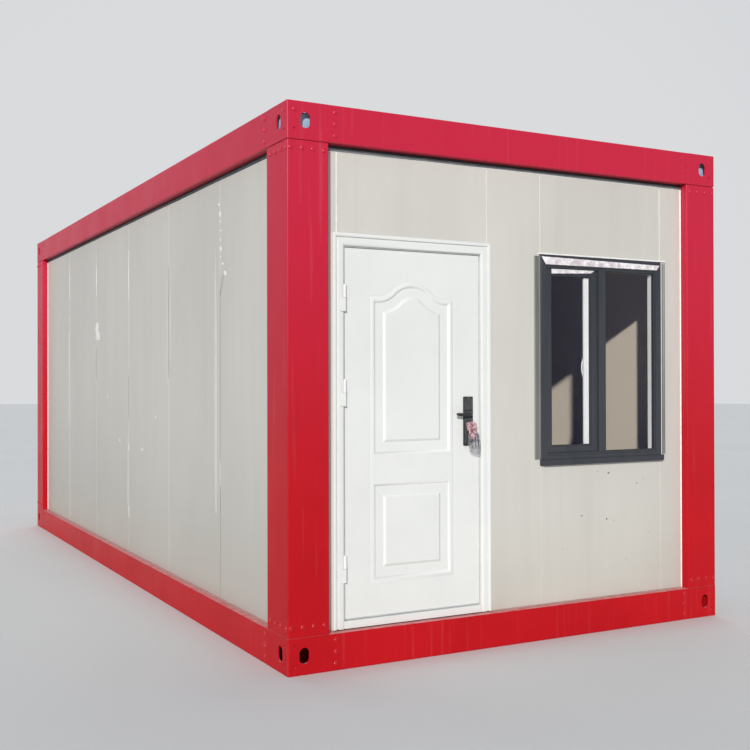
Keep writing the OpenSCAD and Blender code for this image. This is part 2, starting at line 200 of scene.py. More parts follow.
@dataclass(frozen=True)
class Finish:
    """A surface's finish: its two tones in soft patches, how much it shines, and the relief of its making."""

    title: str
    colour: str
    shade: str
    roughness: float
    patch: float = 400 * MM  # size of the patches of the second tone
    grain: float = 8 * MM  # size of the relief's bumps
    relief: float = 0.1 * MM  # height of the relief's bumps
    stretch: float = 1.0  # how much longer patches and bumps are upright than across
    spread: float = 0.04  # how far the roughness wanders
    metallic: float = 0.0
    ior: float = 1.5
    alpha: float = 1.0

    def material(self) -> bpy.types.Material:
        """Returns the finish's material, which is made once and shared."""
        made = bpy.data.materials.get(self.title)
        if made is not None:
            return made
        made = bpy.data.materials.new(self.title)
        made.use_nodes = True
        tree = made.node_tree
        shader = tree.nodes["Principled BSDF"]
        shader.inputs["Metallic"].default_value = self.metallic
        shader.inputs["IOR"].default_value = self.ior
        shader.inputs["Alpha"].default_value = self.alpha
        made.diffuse_color = linear(self.colour)
        place = add_node(tree, "TexCoord").outputs["Object"]
        for name, source in self.sources(tree, place).items():
            tree.links.new(source, shader.inputs[name])
        return made

    def sources(self, tree: Tree, place: Socket) -> dict[str, Socket]:
        """Returns the sockets that feed the shader, by the names of the shader's inputs."""
        return {"Base Color": self.hue(tree, place), "Roughness": self.shine(tree, place),
                "Normal": self.surface(tree, place)}

    def drawn_out(self, tree: Tree, place: Socket) -> Socket:
        """Returns the place squeezed upright, so that a pattern drawn on it is stretched upright."""
        squeeze = (1.0, 1.0, 1.0 / self.stretch)
        return add_node(tree, "Mapping", None, {"Vector": place, "Scale": squeeze}).outputs["Vector"]

    def hue(self, tree: Tree, place: Socket) -> Socket:
        """Mixes the two tones in soft patches.

        Args:
            tree: The material's node tree.
            place: The socket that gives the place on the object.

        Returns:
            The socket with the colour.
        """
        spots = add_node(tree, "TexNoise", None, {
            "Vector": self.drawn_out(tree, place), "Scale": 1 / self.patch, "Detail": 4.0, "Roughness": 0.6})
        share = add_node(tree, "MapRange", None, {
            "Value": spots.outputs["Fac"], "From Min": 0.35, "From Max": 0.65})
        return add_node(tree, "Mix", COLOURS, {
            FACTOR: share.outputs["Result"], FIRST: linear(self.colour),
            SECOND: linear(self.shade)}).outputs[MIXED]

    def shine(self, tree: Tree, place: Socket) -> Socket:
        """Returns the socket with the roughness, which wanders a little over the surface."""
        smears = add_node(tree, "TexNoise", None, {
            "Vector": self.drawn_out(tree, place), "Scale": 2.3 / self.patch, "Detail": 3.0})
        return add_node(tree, "MapRange", None, {
            "Value": smears.outputs["Fac"], "From Min": 0.3, "From Max": 0.7,
            "To Min": self.roughness - self.spread, "To Max": self.roughness + self.spread}).outputs["Result"]

    def surface(self, tree: Tree, place: Socket) -> Socket:
        """Returns the socket with the normal, bumped by the relief."""
        bumps = add_node(tree, "TexNoise", None, {
            "Vector": self.drawn_out(tree, place), "Scale": 1 / self.grain, "Detail": 2.0})
        return add_node(tree, "Bump", None, {
            "Height": bumps.outputs["Fac"], "Distance": self.relief, "Strength": 1.0}).outputs["Normal"]


@dataclass(frozen=True)
class SprayedEnamel(Finish):
    """Alkyd enamel, sprayed on cold-formed steel.

    It is deep red, pinker high up where the sky's reflection is painted in, with faint run marks, and dusty on
    level faces.
    """

    # pinker red that paints the sky's reflection high up
    painted_sky_sheen: str = "#C52240"
    dust: str = "#E0B4B2"
    sheen_from: float = 0.7  # height where the painted sky reflection sets in
    sheen_to: float = 2.7  # height where it is full
    gloss: float = 0.34  # of the paint where nothing has dulled it
    dulled: float = 0.25  # share of the gloss left at the foot, where grit has scoured it
    run_width: float = 26.32 * MM
    run_length: float = 714 * MM
    grit: float = 45.45 * MM  # size of the patches of settled dust
    dent: float = 240 * MM  # span of the long waves that cold forming leaves in a flat face
    dent_depth: float = 3.5 * MM

    def sources(self, tree: Tree, place: Socket) -> dict[str, Socket]:
        """Adds the loss of gloss towards the foot to what feeds the shader.

        Args:
            tree: The material's node tree.
            place: The socket that gives the place on the object.

        Returns:
            The sockets, by the names of the shader's inputs.
        """
        parts = add_node(tree, "SeparateXYZ", None, {"Vector": place})
        gloss = add_node(tree, "MapRange", SMOOTH, {
            "Value": parts.outputs["Z"], "From Min": 0.0, "From Max": self.sheen_to,
            "To Min": self.gloss * self.dulled, "To Max": self.gloss})
        return Finish.sources(self, tree, place) | {"Specular IOR Level": gloss.outputs["Result"]}

    def hue(self, tree: Tree, place: Socket) -> Socket:
        """Adds a painted sky reflection that grows with height, run marks and settled dust to the patches.

        Args:
            tree: The material's node tree.
            place: The socket that gives the place on the object.

        Returns:
            The socket with the colour.
        """
        patches = Finish.hue(self, tree, place)
        parts = add_node(tree, "SeparateXYZ", None, {"Vector": place})
        # Painted reflection of the sky: the red turns pinker higher up
        high = add_node(tree, "MapRange", SMOOTH, {
            "Value": parts.outputs["Z"], "From Min": self.sheen_from, "From Max": self.sheen_to,
            "To Max": 0.9})
        painted_sheen = add_node(tree, "Mix", COLOURS, {
            FACTOR: high.outputs["Result"], FIRST: patches, SECOND: linear(self.painted_sky_sheen)})
        streaks = add_node(tree, "Mapping", None, {
            "Vector": place, "Scale": (1 / self.run_width, 1 / self.run_width, 1 / self.run_length)})
        runs = add_node(tree, "TexNoise", None, {
            "Vector": streaks.outputs["Vector"], "Scale": 1.0, "Detail": 3.0})
        wash = add_node(tree, "MapRange", None, {
            "Value": runs.outputs["Fac"], "From Min": 0.58, "From Max": 0.8, "To Max": 0.05})
        washed = add_node(tree, "Mix", COLOURS, {
            FACTOR: wash.outputs["Result"], FIRST: painted_sheen.outputs[MIXED], SECOND: linear(self.dust)})
        facing = add_node(tree, "SeparateXYZ", None, {
            "Vector": add_node(tree, "NewGeometry").outputs["Normal"]})
        level = add_node(tree, "MapRange", None, {
            "Value": facing.outputs["Z"], "From Min": 0.75, "From Max": 0.97})
        specks = add_node(tree, "TexNoise", None, {"Vector": place, "Scale": 1 / self.grit, "Detail": 5.0})
        cover = add_node(tree, "MapRange", None, {
            "Value": specks.outputs["Fac"], "From Min": 0.3, "From Max": 0.62, "To Min": 0.25, "To Max": 0.6})
        settled = add_node(tree, "Math", {"operation": "MULTIPLY"}, {
            0: level.outputs["Result"], 1: cover.outputs["Result"]})
        return add_node(tree, "Mix", COLOURS, {
            FACTOR: settled.outputs["Value"], FIRST: washed.outputs[MIXED],
            SECOND: linear(self.dust)}).outputs[MIXED]

    def surface(self, tree: Tree, place: Socket) -> Socket:
        """Adds the long waves of cold-formed sheet to the orange peel of the paint.

        Args:
            tree: The material's node tree.
            place: The socket that gives the place on the object.

        Returns:
            The socket with the normal.
        """
        waves = add_node(tree, "TexNoise", None, {"Vector": place, "Scale": 1 / self.dent, "Detail": 1.0})
        bent = add_node(tree, "Bump", None, {
            "Height": waves.outputs["Fac"], "Distance": self.dent_depth, "Strength": 1.0})
        peel = add_node(tree, "TexNoise", None, {"Vector": place, "Scale": 1 / self.grain, "Detail": 2.0})
        return add_node(tree, "Bump", None, {
            "Height": peel.outputs["Fac"], "Distance": self.relief, "Strength": 1.0,
            "Normal": bent.outputs["Normal"]}).outputs["Normal"]


@dataclass(frozen=True)
class CoilCoatedSkin(Finish):
    """Polyester coil coating on thin steel skins.

    It is a satin warm white, streaked upright by rain and dusty at the foot. The skins that face the
    room stay clean and bright.
    """

    indoors: str = "#EBDFCB"
    smear: str = "#B4B2AD"
    greyed: str = "#ABA9A3"
    splash: str = "#B7AE9F"
    rain_width: float = 111.1 * MM  # of the rain streaks
    rain_length: float = 2222 * MM
    cloud: float = 588.2 * MM  # size of the clouds of splashed dust
    foot: float = 190 * MM  # height of the panels' foot
    splash_top: float = 0.8  # height where the splashed dust ends
    grey_foot_top: float = 1.7  # height up to which the side walls grow greyer towards the foot
    greyed_from: float = -2.6  # where the walls start to grey towards the back
    greyed_to: float = 1.6  # where they are fully greyed

    def hue(self, tree: Tree, place: Socket) -> Socket:
        """Adds rain streaks, greying towards the back and towards the side walls' foot, and splashed dust
        outdoors, and a clean tone indoors.

        Args:
            tree: The material's node tree.
            place: The socket that gives the place on the object.

        Returns:
            The socket with the colour.
        """
        patches = Finish.hue(self, tree, place)
        drawn = add_node(tree, "Mapping", None, {
            "Vector": place, "Scale": (1 / self.rain_width, 1 / self.rain_width, 1 / self.rain_length)})
        rain = add_node(tree, "TexNoise", None, {
            "Vector": drawn.outputs["Vector"], "Scale": 1.0, "Detail": 4.0})
        faint = add_node(tree, "MapRange", None, {
            "Value": rain.outputs["Fac"], "From Min": 0.5, "From Max": 0.75, "To Max": 0.2})
        streaked = add_node(tree, "Mix", COLOURS, {
            FACTOR: faint.outputs["Result"], FIRST: patches, SECOND: linear(self.smear)})
        parts = add_node(tree, "SeparateXYZ", None, {"Vector": place})
        clouds = add_node(tree, "TexNoise", None, {"Vector": place, "Scale": 1 / self.cloud, "Detail": 4.0})
        low = add_node(tree, "MapRange", SMOOTH, {
            "Value": parts.outputs["Z"], "From Min": self.foot, "From Max": self.splash_top,
            "To Min": 0.6, "To Max": 0.0})
        splashed = add_node(tree, "Math", {"operation": "MULTIPLY"}, {
            0: low.outputs["Result"], 1: clouds.outputs["Fac"]})
        # Greyer towards the back, and on the side walls greyer towards the foot
        rear = add_node(tree, "MapRange", None, {
            "Value": parts.outputs["Y"], "From Min": self.greyed_from, "From Max": self.greyed_to,
            "To Max": 0.3})
        facing = add_node(tree, "SeparateXYZ", None, {
            "Vector": add_node(tree, "NewGeometry").outputs["Normal"]})
        sideways = add_node(tree, "Math", {"operation": "ABSOLUTE"}, {0: facing.outputs["X"]})
        grey_foot = add_node(tree, "MapRange", SMOOTH, {
            "Value": parts.outputs["Z"], "From Min": self.foot, "From Max": self.grey_foot_top,
            "To Min": 0.5, "To Max": 0.0})
        greying = add_node(tree, "Math", {"operation": "MULTIPLY_ADD", "use_clamp": True}, {
            0: sideways.outputs["Value"], 1: grey_foot.outputs["Result"], 2: rear.outputs["Result"]})
        greyer = add_node(tree, "Mix", COLOURS, {
            FACTOR: greying.outputs["Value"], FIRST: streaked.outputs[MIXED], SECOND: linear(self.greyed)})
        dusty = add_node(tree, "Mix", COLOURS, {
            FACTOR: splashed.outputs["Value"], FIRST: greyer.outputs[MIXED], SECOND: linear(self.splash)})
        return add_node(tree, "Mix", COLOURS, {
            FACTOR: self.faces_room(tree, place), FIRST: dusty.outputs[MIXED],
            SECOND: linear(self.indoors)}).outputs[MIXED]

    def faces_room(self, tree: Tree, place: Socket) -> Socket:
        """Tells the faces that look towards the cabin's middle from the others.

        Args:
            tree: The material's node tree.
            place: The socket that gives the place on the object.

        Returns:
            The socket that is 1 on those faces and 0 elsewhere.
        """
        flat = add_node(tree, "VectorMath", {"operation": "MULTIPLY"}, {0: place, 1: (1.0, 1.0, 0.0)})
        outward = add_node(tree, "VectorMath", {"operation": "DOT_PRODUCT"}, {
            0: flat.outputs["Vector"], 1: add_node(tree, "NewGeometry").outputs["Normal"]})
        return add_node(tree, "Math", {"operation": "LESS_THAN"}, {
            0: outward.outputs["Value"], 1: 0.0}).outputs["Value"]


@dataclass(frozen=True)
class SpangledZinc(Finish):
    """Hot-dip galvanised sheet: grey zinc crystals, each a little lighter or darker than its neighbours."""

    crystal: float = 22 * MM  # crystals of 10 to 15 mm, drawn coarser so that they show

    def hue(self, tree: Tree, place: Socket) -> Socket:
        """Gives each crystal its own tone between the two.

        Args:
            tree: The material's node tree.
            place: The socket that gives the place on the object.

        Returns:
            The socket with the colour.
        """
        cells = add_node(tree, "TexVoronoi", None, {"Vector": place, "Scale": 1 / self.crystal})
        tone = add_node(tree, "SeparateColor", None, {"Color": cells.outputs["Color"]})
        return add_node(tree, "Mix", COLOURS, {
            FACTOR: tone.outputs["Red"], FIRST: linear(self.colour),
            SECOND: linear(self.shade)}).outputs[MIXED]


# Frame: deep half-gloss red that mirrors the sky softly and shows the waves of the formed steel
FRAME_ENAMEL = SprayedEnamel(
    "sprayed_red_enamel", "#BE151F", "#B3131C", 0.36, patch=700 * MM, grain=14 * MM, relief=0.05 * MM)
# Bolt heads: the same red, sprayed wet over bare heads and so glossier
BOLT_ENAMEL = replace(
    FRAME_ENAMEL, title="sprayed_red_bolt_enamel", roughness=0.18, dulled=1.0, gloss=0.5)
# Walls: low-sheen warm white that greys a little in patches
WALL_SKIN = CoilCoatedSkin(
    "coil_coated_wall_skin", "#D1CEC6", "#C7C4BC", 0.42, patch=1100 * MM, grain=160 * MM, relief=0.35 * MM,
    stretch=2.5)
# Door leaf and frame: clean cool white with a soft even sheen
DOOR_COAT = Finish(
    "powder_coated_door_steel", "#E4E5E1", "#DFE0DD", 0.32, patch=500 * MM, grain=5 * MM, relief=0.02 * MM)
# Hinges: the same white, a little glossier where it is rubbed
HINGE_COAT = Finish("powder_coated_hinge", "#EBECEA", "#E0E1DF", 0.26, patch=60 * MM, grain=4 * MM)
# Lock plates, levers: near black with a satin sheen
LOCK_COAT = Finish(
    "black_lacquered_zinc_casting", "#2B2C2E", "#37383A", 0.34, patch=50 * MM, grain=3 * MM, relief=0.03 * MM)
# Ridges of the lock plates: lighter than their ground, partly rubbed and partly a painted highlight; the band
# over the spindle is a painted highlight
RUBBED_AND_HIGHLIGHT_COAT = Finish(
    "rubbed_casting_and_painted_highlight", "#6E7073", "#58595C", 0.36, patch=20 * MM, grain=3 * MM, metallic=0.6)
# Cylinder, key, screws: bright warm grey metal
NICKEL = Finish(
    "nickel_plated_brass", "#CBC7BE", "#B9B5AC", 0.22, patch=15 * MM, grain=3 * MM, relief=0.02 * MM,
    metallic=1.0)
# Window outside: dark blue-grey foil with a faint upright grain
WINDOW_FOIL = Finish(
    "anthracite_foil_on_profile", "#3B3D42", "#33363B", 0.36, patch=120 * MM, grain=5 * MM, relief=0.05 * MM,
    stretch=9.0)
# Window inside: plain extruded white
WHITE_PROFILE = Finish("extruded_white_profile", "#F5F5F3", "#EDEDEA", 0.3, patch=200 * MM)
# Panes: clear, so that the room shows through them, with a trace of blue that is a painted reflection of a blue
# sky
PANE_WITH_PAINTED_SKY = Finish(
    "float_glass_painted_sky_tint", "#35457A", "#3A4A7C", 0.03, patch=800 * MM, grain=500 * MM, relief=0.3 * MM,
    spread=0.01, ior=1.52, alpha=0.05)
# Film left on the window: milky white, crinkled, with pink and grey scuffs
COVER_FILM = Finish(
    "crinkled_cover_film", "#F8F7F7", "#C9BBBF", 0.3, patch=38 * MM, grain=9 * MM, relief=1.6 * MM)
# Trims: dull mill aluminium
TRIM_METAL = Finish(
    "mill_aluminium_strip", "#8E8E8A", "#75766F", 0.45, patch=120 * MM, grain=3 * MM, stretch=12.0,
    metallic=0.35)
# Sealant: matt white, lumpy where it was gunned and wiped
SEALANT = Finish(
    "gunned_white_sealant", "#EFEFEC", "#DEDDD8", 0.55, patch=30 * MM, grain=10 * MM, relief=0.8 * MM)
# Sealant along the walls' feet: gunned too, brown-pink with splashed dust
DUSTY_SEALANT = Finish(
    "dusty_foot_sealant", "#B39A92", "#9C8279", 0.7, patch=90 * MM, grain=10 * MM, relief=0.8 * MM)
# Haze of sealant wiped along a joint: hardly lighter than the wall
WIPED_SEALANT = Finish("wiped_sealant_haze", "#DAD7D1", "#D2CFC8", 0.5, patch=80 * MM, grain=30 * MM)
# Foam strip: dull grey with a skin of fine closed cells
FOAM = Finish("closed_cell_foam_strip", "#7C8182", "#6A6F70", 0.85, patch=60 * MM, grain=4 * MM, relief=1 * MM)
# Door seals: pale grey, so that the joints round the leaf stay light
PALE_SEAL = Finish("extruded_pale_grey_seal", "#BDBFBE", "#B0B2B1", 0.6, patch=60 * MM)
# Pane seals, bedding and painted shadow strips: soft black that takes little light
RUBBER = Finish("extruded_black_rubber", "#1B1C1D", "#242526", 0.6, patch=60 * MM)
# Rainwater boxes: pale blue plastic, the blue a painted stand-in for the sky seen through the slots; bright
# where daylight falls on it through the slots
DRAIN_LINER_PAINTED_SKY = Finish("drain_liner_painted_sky_blue", "#B4CBE2", "#9DBBDA", 0.5, patch=60 * MM)
# Roof: galvanised sheet, dull silver with crystals
ROOF_ZINC = SpangledZinc(
    "galvanised_roof_sheet", "#B4B8BA", "#9BA0A3", 0.42, patch=300 * MM, grain=120 * MM, relief=0.6 * MM,
    metallic=0.85)
# Ceiling: the walls' coating where no weather reaches it, even and pale
CEILING_SKIN = Finish("coil_coated_ceiling", "#E6E7E4", "#DFE0DD", 0.4, grain=150 * MM, relief=0.4 * MM)
# Floor: grey-brown vinyl, finely mottled
FLOOR_VINYL = Finish("sheet_vinyl_floor", "#6C665D", "#5C574F", 0.4, patch=12 * MM, grain=6 * MM)
# Joists: dull grey primer
JOIST_STEEL = Finish("primed_steel_joist", "#6C6F72", "#5B5E61", 0.55, patch=150 * MM, grain=10 * MM)
# Marks: brown and grey specks of grime
GRIME = Finish("dried_grime", "#8C7F6C", "#6F675B", 0.8, patch=10 * MM)
# Open joints of the side wall: thin dusty shadow, little darker than the skin
JOINT_DIRT = Finish("dusty_open_joint", "#A5A19A", "#8F8A82", 0.8, patch=60 * MM, stretch=4.0)
# Key pouch: clear film, milky at its folds
POUCH_FILM = Finish(
    "clear_pouch_film", "#C9C5CC", "#5C5762", 0.15, patch=20 * MM, grain=9 * MM, relief=2 * MM, alpha=0.33)
# Key tags: plain crumpled dark red film, whose pale pink patches are painted highlights
TAG_FILM_WITH_PAINTED_GLINTS = Finish(
    "crumpled_red_tag_painted_glints", "#4E0814", "#E0B8C1", 0.3, patch=16 * MM, grain=6 * MM, relief=0.6 * MM)
# Studio floor: pale grey with no sheen
PAPER = Finish("matt_seamless_paper", "#D9DAD9", "#D6D7D6", 0.85, patch=3.0, grain=1.0, relief=0.1 * MM)


# ---- outlines and meshes ----

def inset(outline: Sequence[Flat], distance: float) -> list[Flat]:
    """Moves each edge of an outline inwards.

    Args:
        outline: Its points, in order either way round.
        distance: How far the edges move; outwards if it is negative.

    Returns:
        As many points, at the new corners.
    """
    count = len(outline)
    area = sum(outline[i - 1][0] * outline[i][1] - outline[i][0] * outline[i - 1][1] for i in range(count))
    side = distance if area > 0 else -distance
    moved = []
    for i, here in enumerate(outline):
        before, after = Vector(outline[i - 1]), Vector(outline[(i + 1) % count])
        first = (Vector(here) - before).normalized()
        second = (after - Vector(here)).normalized()
        normals = Vector((-first.y - second.y, first.x + second.x))
        point = Vector(here) + normals * (side / (1 + first.dot(second)))
        moved.append((point.x, point.y))
    return moved


def rounded(outline: Sequence[Flat], radii: Sequence[float], steps: int = 4) -> list[Flat]:
    """Rounds an outline's corners.

    Args:
        outline: Its corners in order.
        radii: How far from each corner its rounding starts; 0 leaves it sharp.
        steps: Pieces in each rounding.

    Returns:
        The outline's points.
    """
    points = []
    for i, corner in enumerate(outline):
        if not radii[i]:
            points.append(corner)
            continue
        here = Vector(corner)
        start = here + (Vector(outline[i - 1]) - here).normalized() * radii[i]
        end = here + (Vector(outline[(i + 1) % len(outline)]) - here).normalized() * radii[i]
        for step in range(steps + 1):
            t = step / steps
            point = start * (1 - t) ** 2 + here * 2 * t * (1 - t) + end * t ** 2
            points.append((point.x, point.y))
    return points


def rectangle(low: Flat, high: Flat) -> list[Flat]:
    """Returns the four corners of an upright rectangle, anticlockwise from its lowest."""
    return [(low[0], low[1]), (high[0], low[1]), (high[0], high[1]), (low[0], high[1])]


def circle(count: int) -> list[Flat]:
    """Returns points round the unit circle, as cosine and sine."""
    return [(math.cos(math.tau * i / count), math.sin(math.tau * i / count)) for i in range(count)]


def stadium(centre: Flat, width: float, length: float, steps: int = 12) -> list[Flat]:
    """Returns the outline of a round-ended slot that is long in its second direction."""
    reach = (length - width) / 2
    points = []
    for end, start in ((1, 0.0), (-1, math.pi)):
        for step in range(steps + 1):
            angle = start + math.pi * step / steps
            points.append((centre[0] + width / 2 * math.cos(angle),
                           centre[1] + end * reach + width / 2 * math.sin(angle)))
    return points


class Shape:
    """A mesh under construction, in metres in the cabin's frame."""

    def __init__(self) -> None:
        """Starts an empty mesh."""
        self.mesh = bmesh.new()

    def loft(self, rings: Sequence[Sequence[Vector]], looped: bool = False) -> None:
        """Joins closed rings into a skin, and closes its two ends.

        Args:
            rings: Rings of equally many points, in order.
            looped: Whether the last ring joins the first, so that there are no ends.
        """
        rows = [[self.mesh.verts.new(point) for point in ring] for ring in rings]
        if looped:
            rows.append(rows[0])
        else:
            self.mesh.faces.new(reversed(rows[0]))
            self.mesh.faces.new(rows[-1])
        self.join(rows)

    def join(self, rows: Sequence[Row]) -> None:
        """Makes the faces between neighbouring closed rows of equally many points."""
        for near, far in zip(rows, rows[1:]):
            for i in range(len(near)):
                self.mesh.faces.new((near[i - 1], near[i], far[i], far[i - 1]))

    def prism(self, outline: Sequence[Flat], axis: Axis, start: float, end: float, ease: float = 0.0) -> None:
        """Adds an outline drawn out along an axis.

        Args:
            outline: Its points.
            axis: The axis that it runs along.
            start: Where it starts.
            end: Where it ends, past the start.
            ease: The width and depth of the chamfer round each end.
        """
        stations = [(start, ease), (start + ease, 0.0), (end - ease, 0.0), (end, ease)]
        if not ease:
            stations = [(start, 0.0), (end, 0.0)]
        self.stations(outline, axis, stations)

    def stations(self, outline: Sequence[Flat], axis: Axis, places: Iterable[Flat]) -> None:
        """Adds an outline drawn out along an axis through places, each a distance along it and an inset."""
        self.loft([[axis.place(a, b, along) for a, b in inset(outline, cut)] for along, cut in places])

    def box(self, low: Sequence[float], high: Sequence[float], radius: float, steps: int = 2) -> None:
        """Adds a box with all edges rounded.

        Args:
            low: Its lowest corner.
            high: Its highest corner.
            radius: The edges' radius.
            steps: Pieces in each rounding.
        """
        low, high = Vector(low), Vector(high)
        verts = bmesh.ops.create_cube(self.mesh, size=1.0)["verts"]
        bmesh.ops.scale(self.mesh, vec=high - low, verts=verts)
        bmesh.ops.translate(self.mesh, vec=(low + high) / 2, verts=verts)
        edges = list({edge for vert in verts for edge in vert.link_edges})
        bmesh.ops.bevel(self.mesh, geom=edges, offset=radius, segments=steps, profile=0.5, affect="EDGES")

    def dome(self, centre: Vector, outward: Vector, radius: float, height: float, sides: int = 14) -> None:
        """Adds a low round head on a face.

        Args:
            centre: The middle of its foot, on the face.
            outward: The direction that it stands out in.
            radius: The foot's radius.
            height: How far it stands out.
            sides: Points round it.
        """
        turn = outward.to_track_quat("Z", "Y")
        rings = []
        for share, rise in ((1.0, -0.3), (1.0, 0.25), (0.86, 0.68), (0.55, 0.93), (0.18, 1.0)):
            rings.append([centre + turn @ Vector((radius * share * a, radius * share * b, rise * height))
                          for a, b in circle(sides)])
        self.loft(rings)

    def tube(self, path: Sequence[Vector], radii: Sequence[Flat], up: Vector, sides: int = 16) -> None:
        """Adds a rod with an oval section along a path.

        Args:
            path: The points of its middle line.
            radii: Its half width and half height at each point.
            up: The direction that its height lies nearest to.
            sides: Points round it.
        """
        rings = []
        for i, (point, (wide, tall)) in enumerate(zip(path, radii)):
            before, after = path[max(i - 1, 0)], path[min(i + 1, len(path) - 1)]
            along = (after - before).normalized()
            across = along.cross(up).normalized()
            rise = across.cross(along)
            rings.append([point + across * wide * a + rise * tall * b for a, b in circle(sides)])
        self.loft(rings)

    def mitred(self, profile: Sequence[Flat], low: Flat, high: Flat, faces: Sequence[float],
               open_foot: bool = False) -> None:
        """Adds a mitred frame round an upright opening, from one section.

        Args:
            profile: The section, as the share of the member's face width and the depth along Y.
            low: The frame's outer left foot, as X and Z.
            high: Its outer right head, as X and Z.
            faces: Face widths of the left, right, bottom and top members.
            open_foot: Whether it has no bottom member, so that its two uprights end square.
        """
        left, right, bottom, top = faces
        bottom = 0.0 if open_foot else bottom
        corners = [(low[0], low[1], left, bottom), (low[0], high[1], left, -top),
                   (high[0], high[1], -right, -top), (high[0], low[1], -right, bottom)]
        rings = [[Vector((x + share * wide, depth, z + share * tall)) for share, depth in profile]
                 for x, z, wide, tall in corners]
        self.loft(rings, looped=not open_foot)

    def finished(self, name: str) -> bpy.types.Mesh:
        """Turns all faces outwards and returns the mesh."""
        bmesh.ops.remove_doubles(self.mesh, verts=self.mesh.verts, dist=0.002 * MM)
        bmesh.ops.recalc_face_normals(self.mesh, faces=self.mesh.faces)
        mesh = bpy.data.meshes.new(name)
        self.mesh.to_mesh(mesh)
        self.mesh.free()
        return mesh


def carved(shape: Shape, cutters: Sequence[Shape], rim: float) -> bpy.types.Mesh:
    """Cuts shapes out of a shape and rounds the rims of the cuts.

    Args:
        shape: The shape that is cut.
        cutters: What is taken out of it, one after the other.
        rim: The radius of the rounding on each sharp edge.

    Returns:
        The mesh that is left.
    """
    helpers = [bpy.data.objects.new("carving", part.finished("carving")) for part in (shape, *cutters)]
    for helper in helpers:
        bpy.context.scene.collection.objects.link(helper)
    body = helpers[0]
    for cutter in helpers[1:]:
        cut = body.modifiers.new("cut", "BOOLEAN")
        cut.operation = "DIFFERENCE"
        cut.solver = "EXACT"
        cut.object = cutter
    edge = body.modifiers.new("rim", "BEVEL")
    edge.width = rim
    edge.segments = 2
    edge.limit_method = "ANGLE"
    edge.angle_limit = math.radians(50)
    mesh = bpy.data.meshes.new_from_object(body.evaluated_get(bpy.context.evaluated_depsgraph_get()))
    for helper in helpers:
        bpy.data.objects.remove(helper)
    return mesh


def publish(name: str, made: Shape | bpy.types.Mesh, finish: Finish, body: Body, slot: Slot | None = None,
            replaces: Sequence[str] = (), sharp: float = 38.0) -> bpy.types.Object:
    """Makes a piece of the visual model.

    Args:
        name: The piece's name.
        made: Its shape or its mesh.
        finish: Its finish.
        body: The body that it rides on.
        slot: The record's slot that the piece belongs to; not used.
        replaces: The CAD nodes that it stands for.
        sharp: The angle in degrees from which an edge is shaded sharp.

    Returns:
        The new object.
    """
    mesh = made.finished(name) if isinstance(made, Shape) else made
    mesh.name = name
    mesh.materials.clear()
    mesh.materials.append(finish.material())
    mesh.shade_smooth()
    mesh.set_sharp_from_angle(angle=math.radians(sharp))
    piece = bpy.data.objects.new(name, mesh)
    bpy.context.scene.collection.objects.link(piece)
    shading = piece.modifiers.new("even_faces", "WEIGHTED_NORMAL")
    shading.keep_sharp = True
    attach(piece, body.value)
    if replaces:
        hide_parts(*replaces)
    LOG.info("%s: %d faces", name, len(mesh.polygons))
    return piece


def dress(finish: Finish, *nodes: str) -> None:
    """Gives CAD nodes that stay in view a finish."""
    for name in nodes:
        for held in frame["nodes"][name].material_slots:
            held.material = finish.material()
    LOG.info("%d nodes in %s", len(nodes), finish.title)


# ---- the frame ----

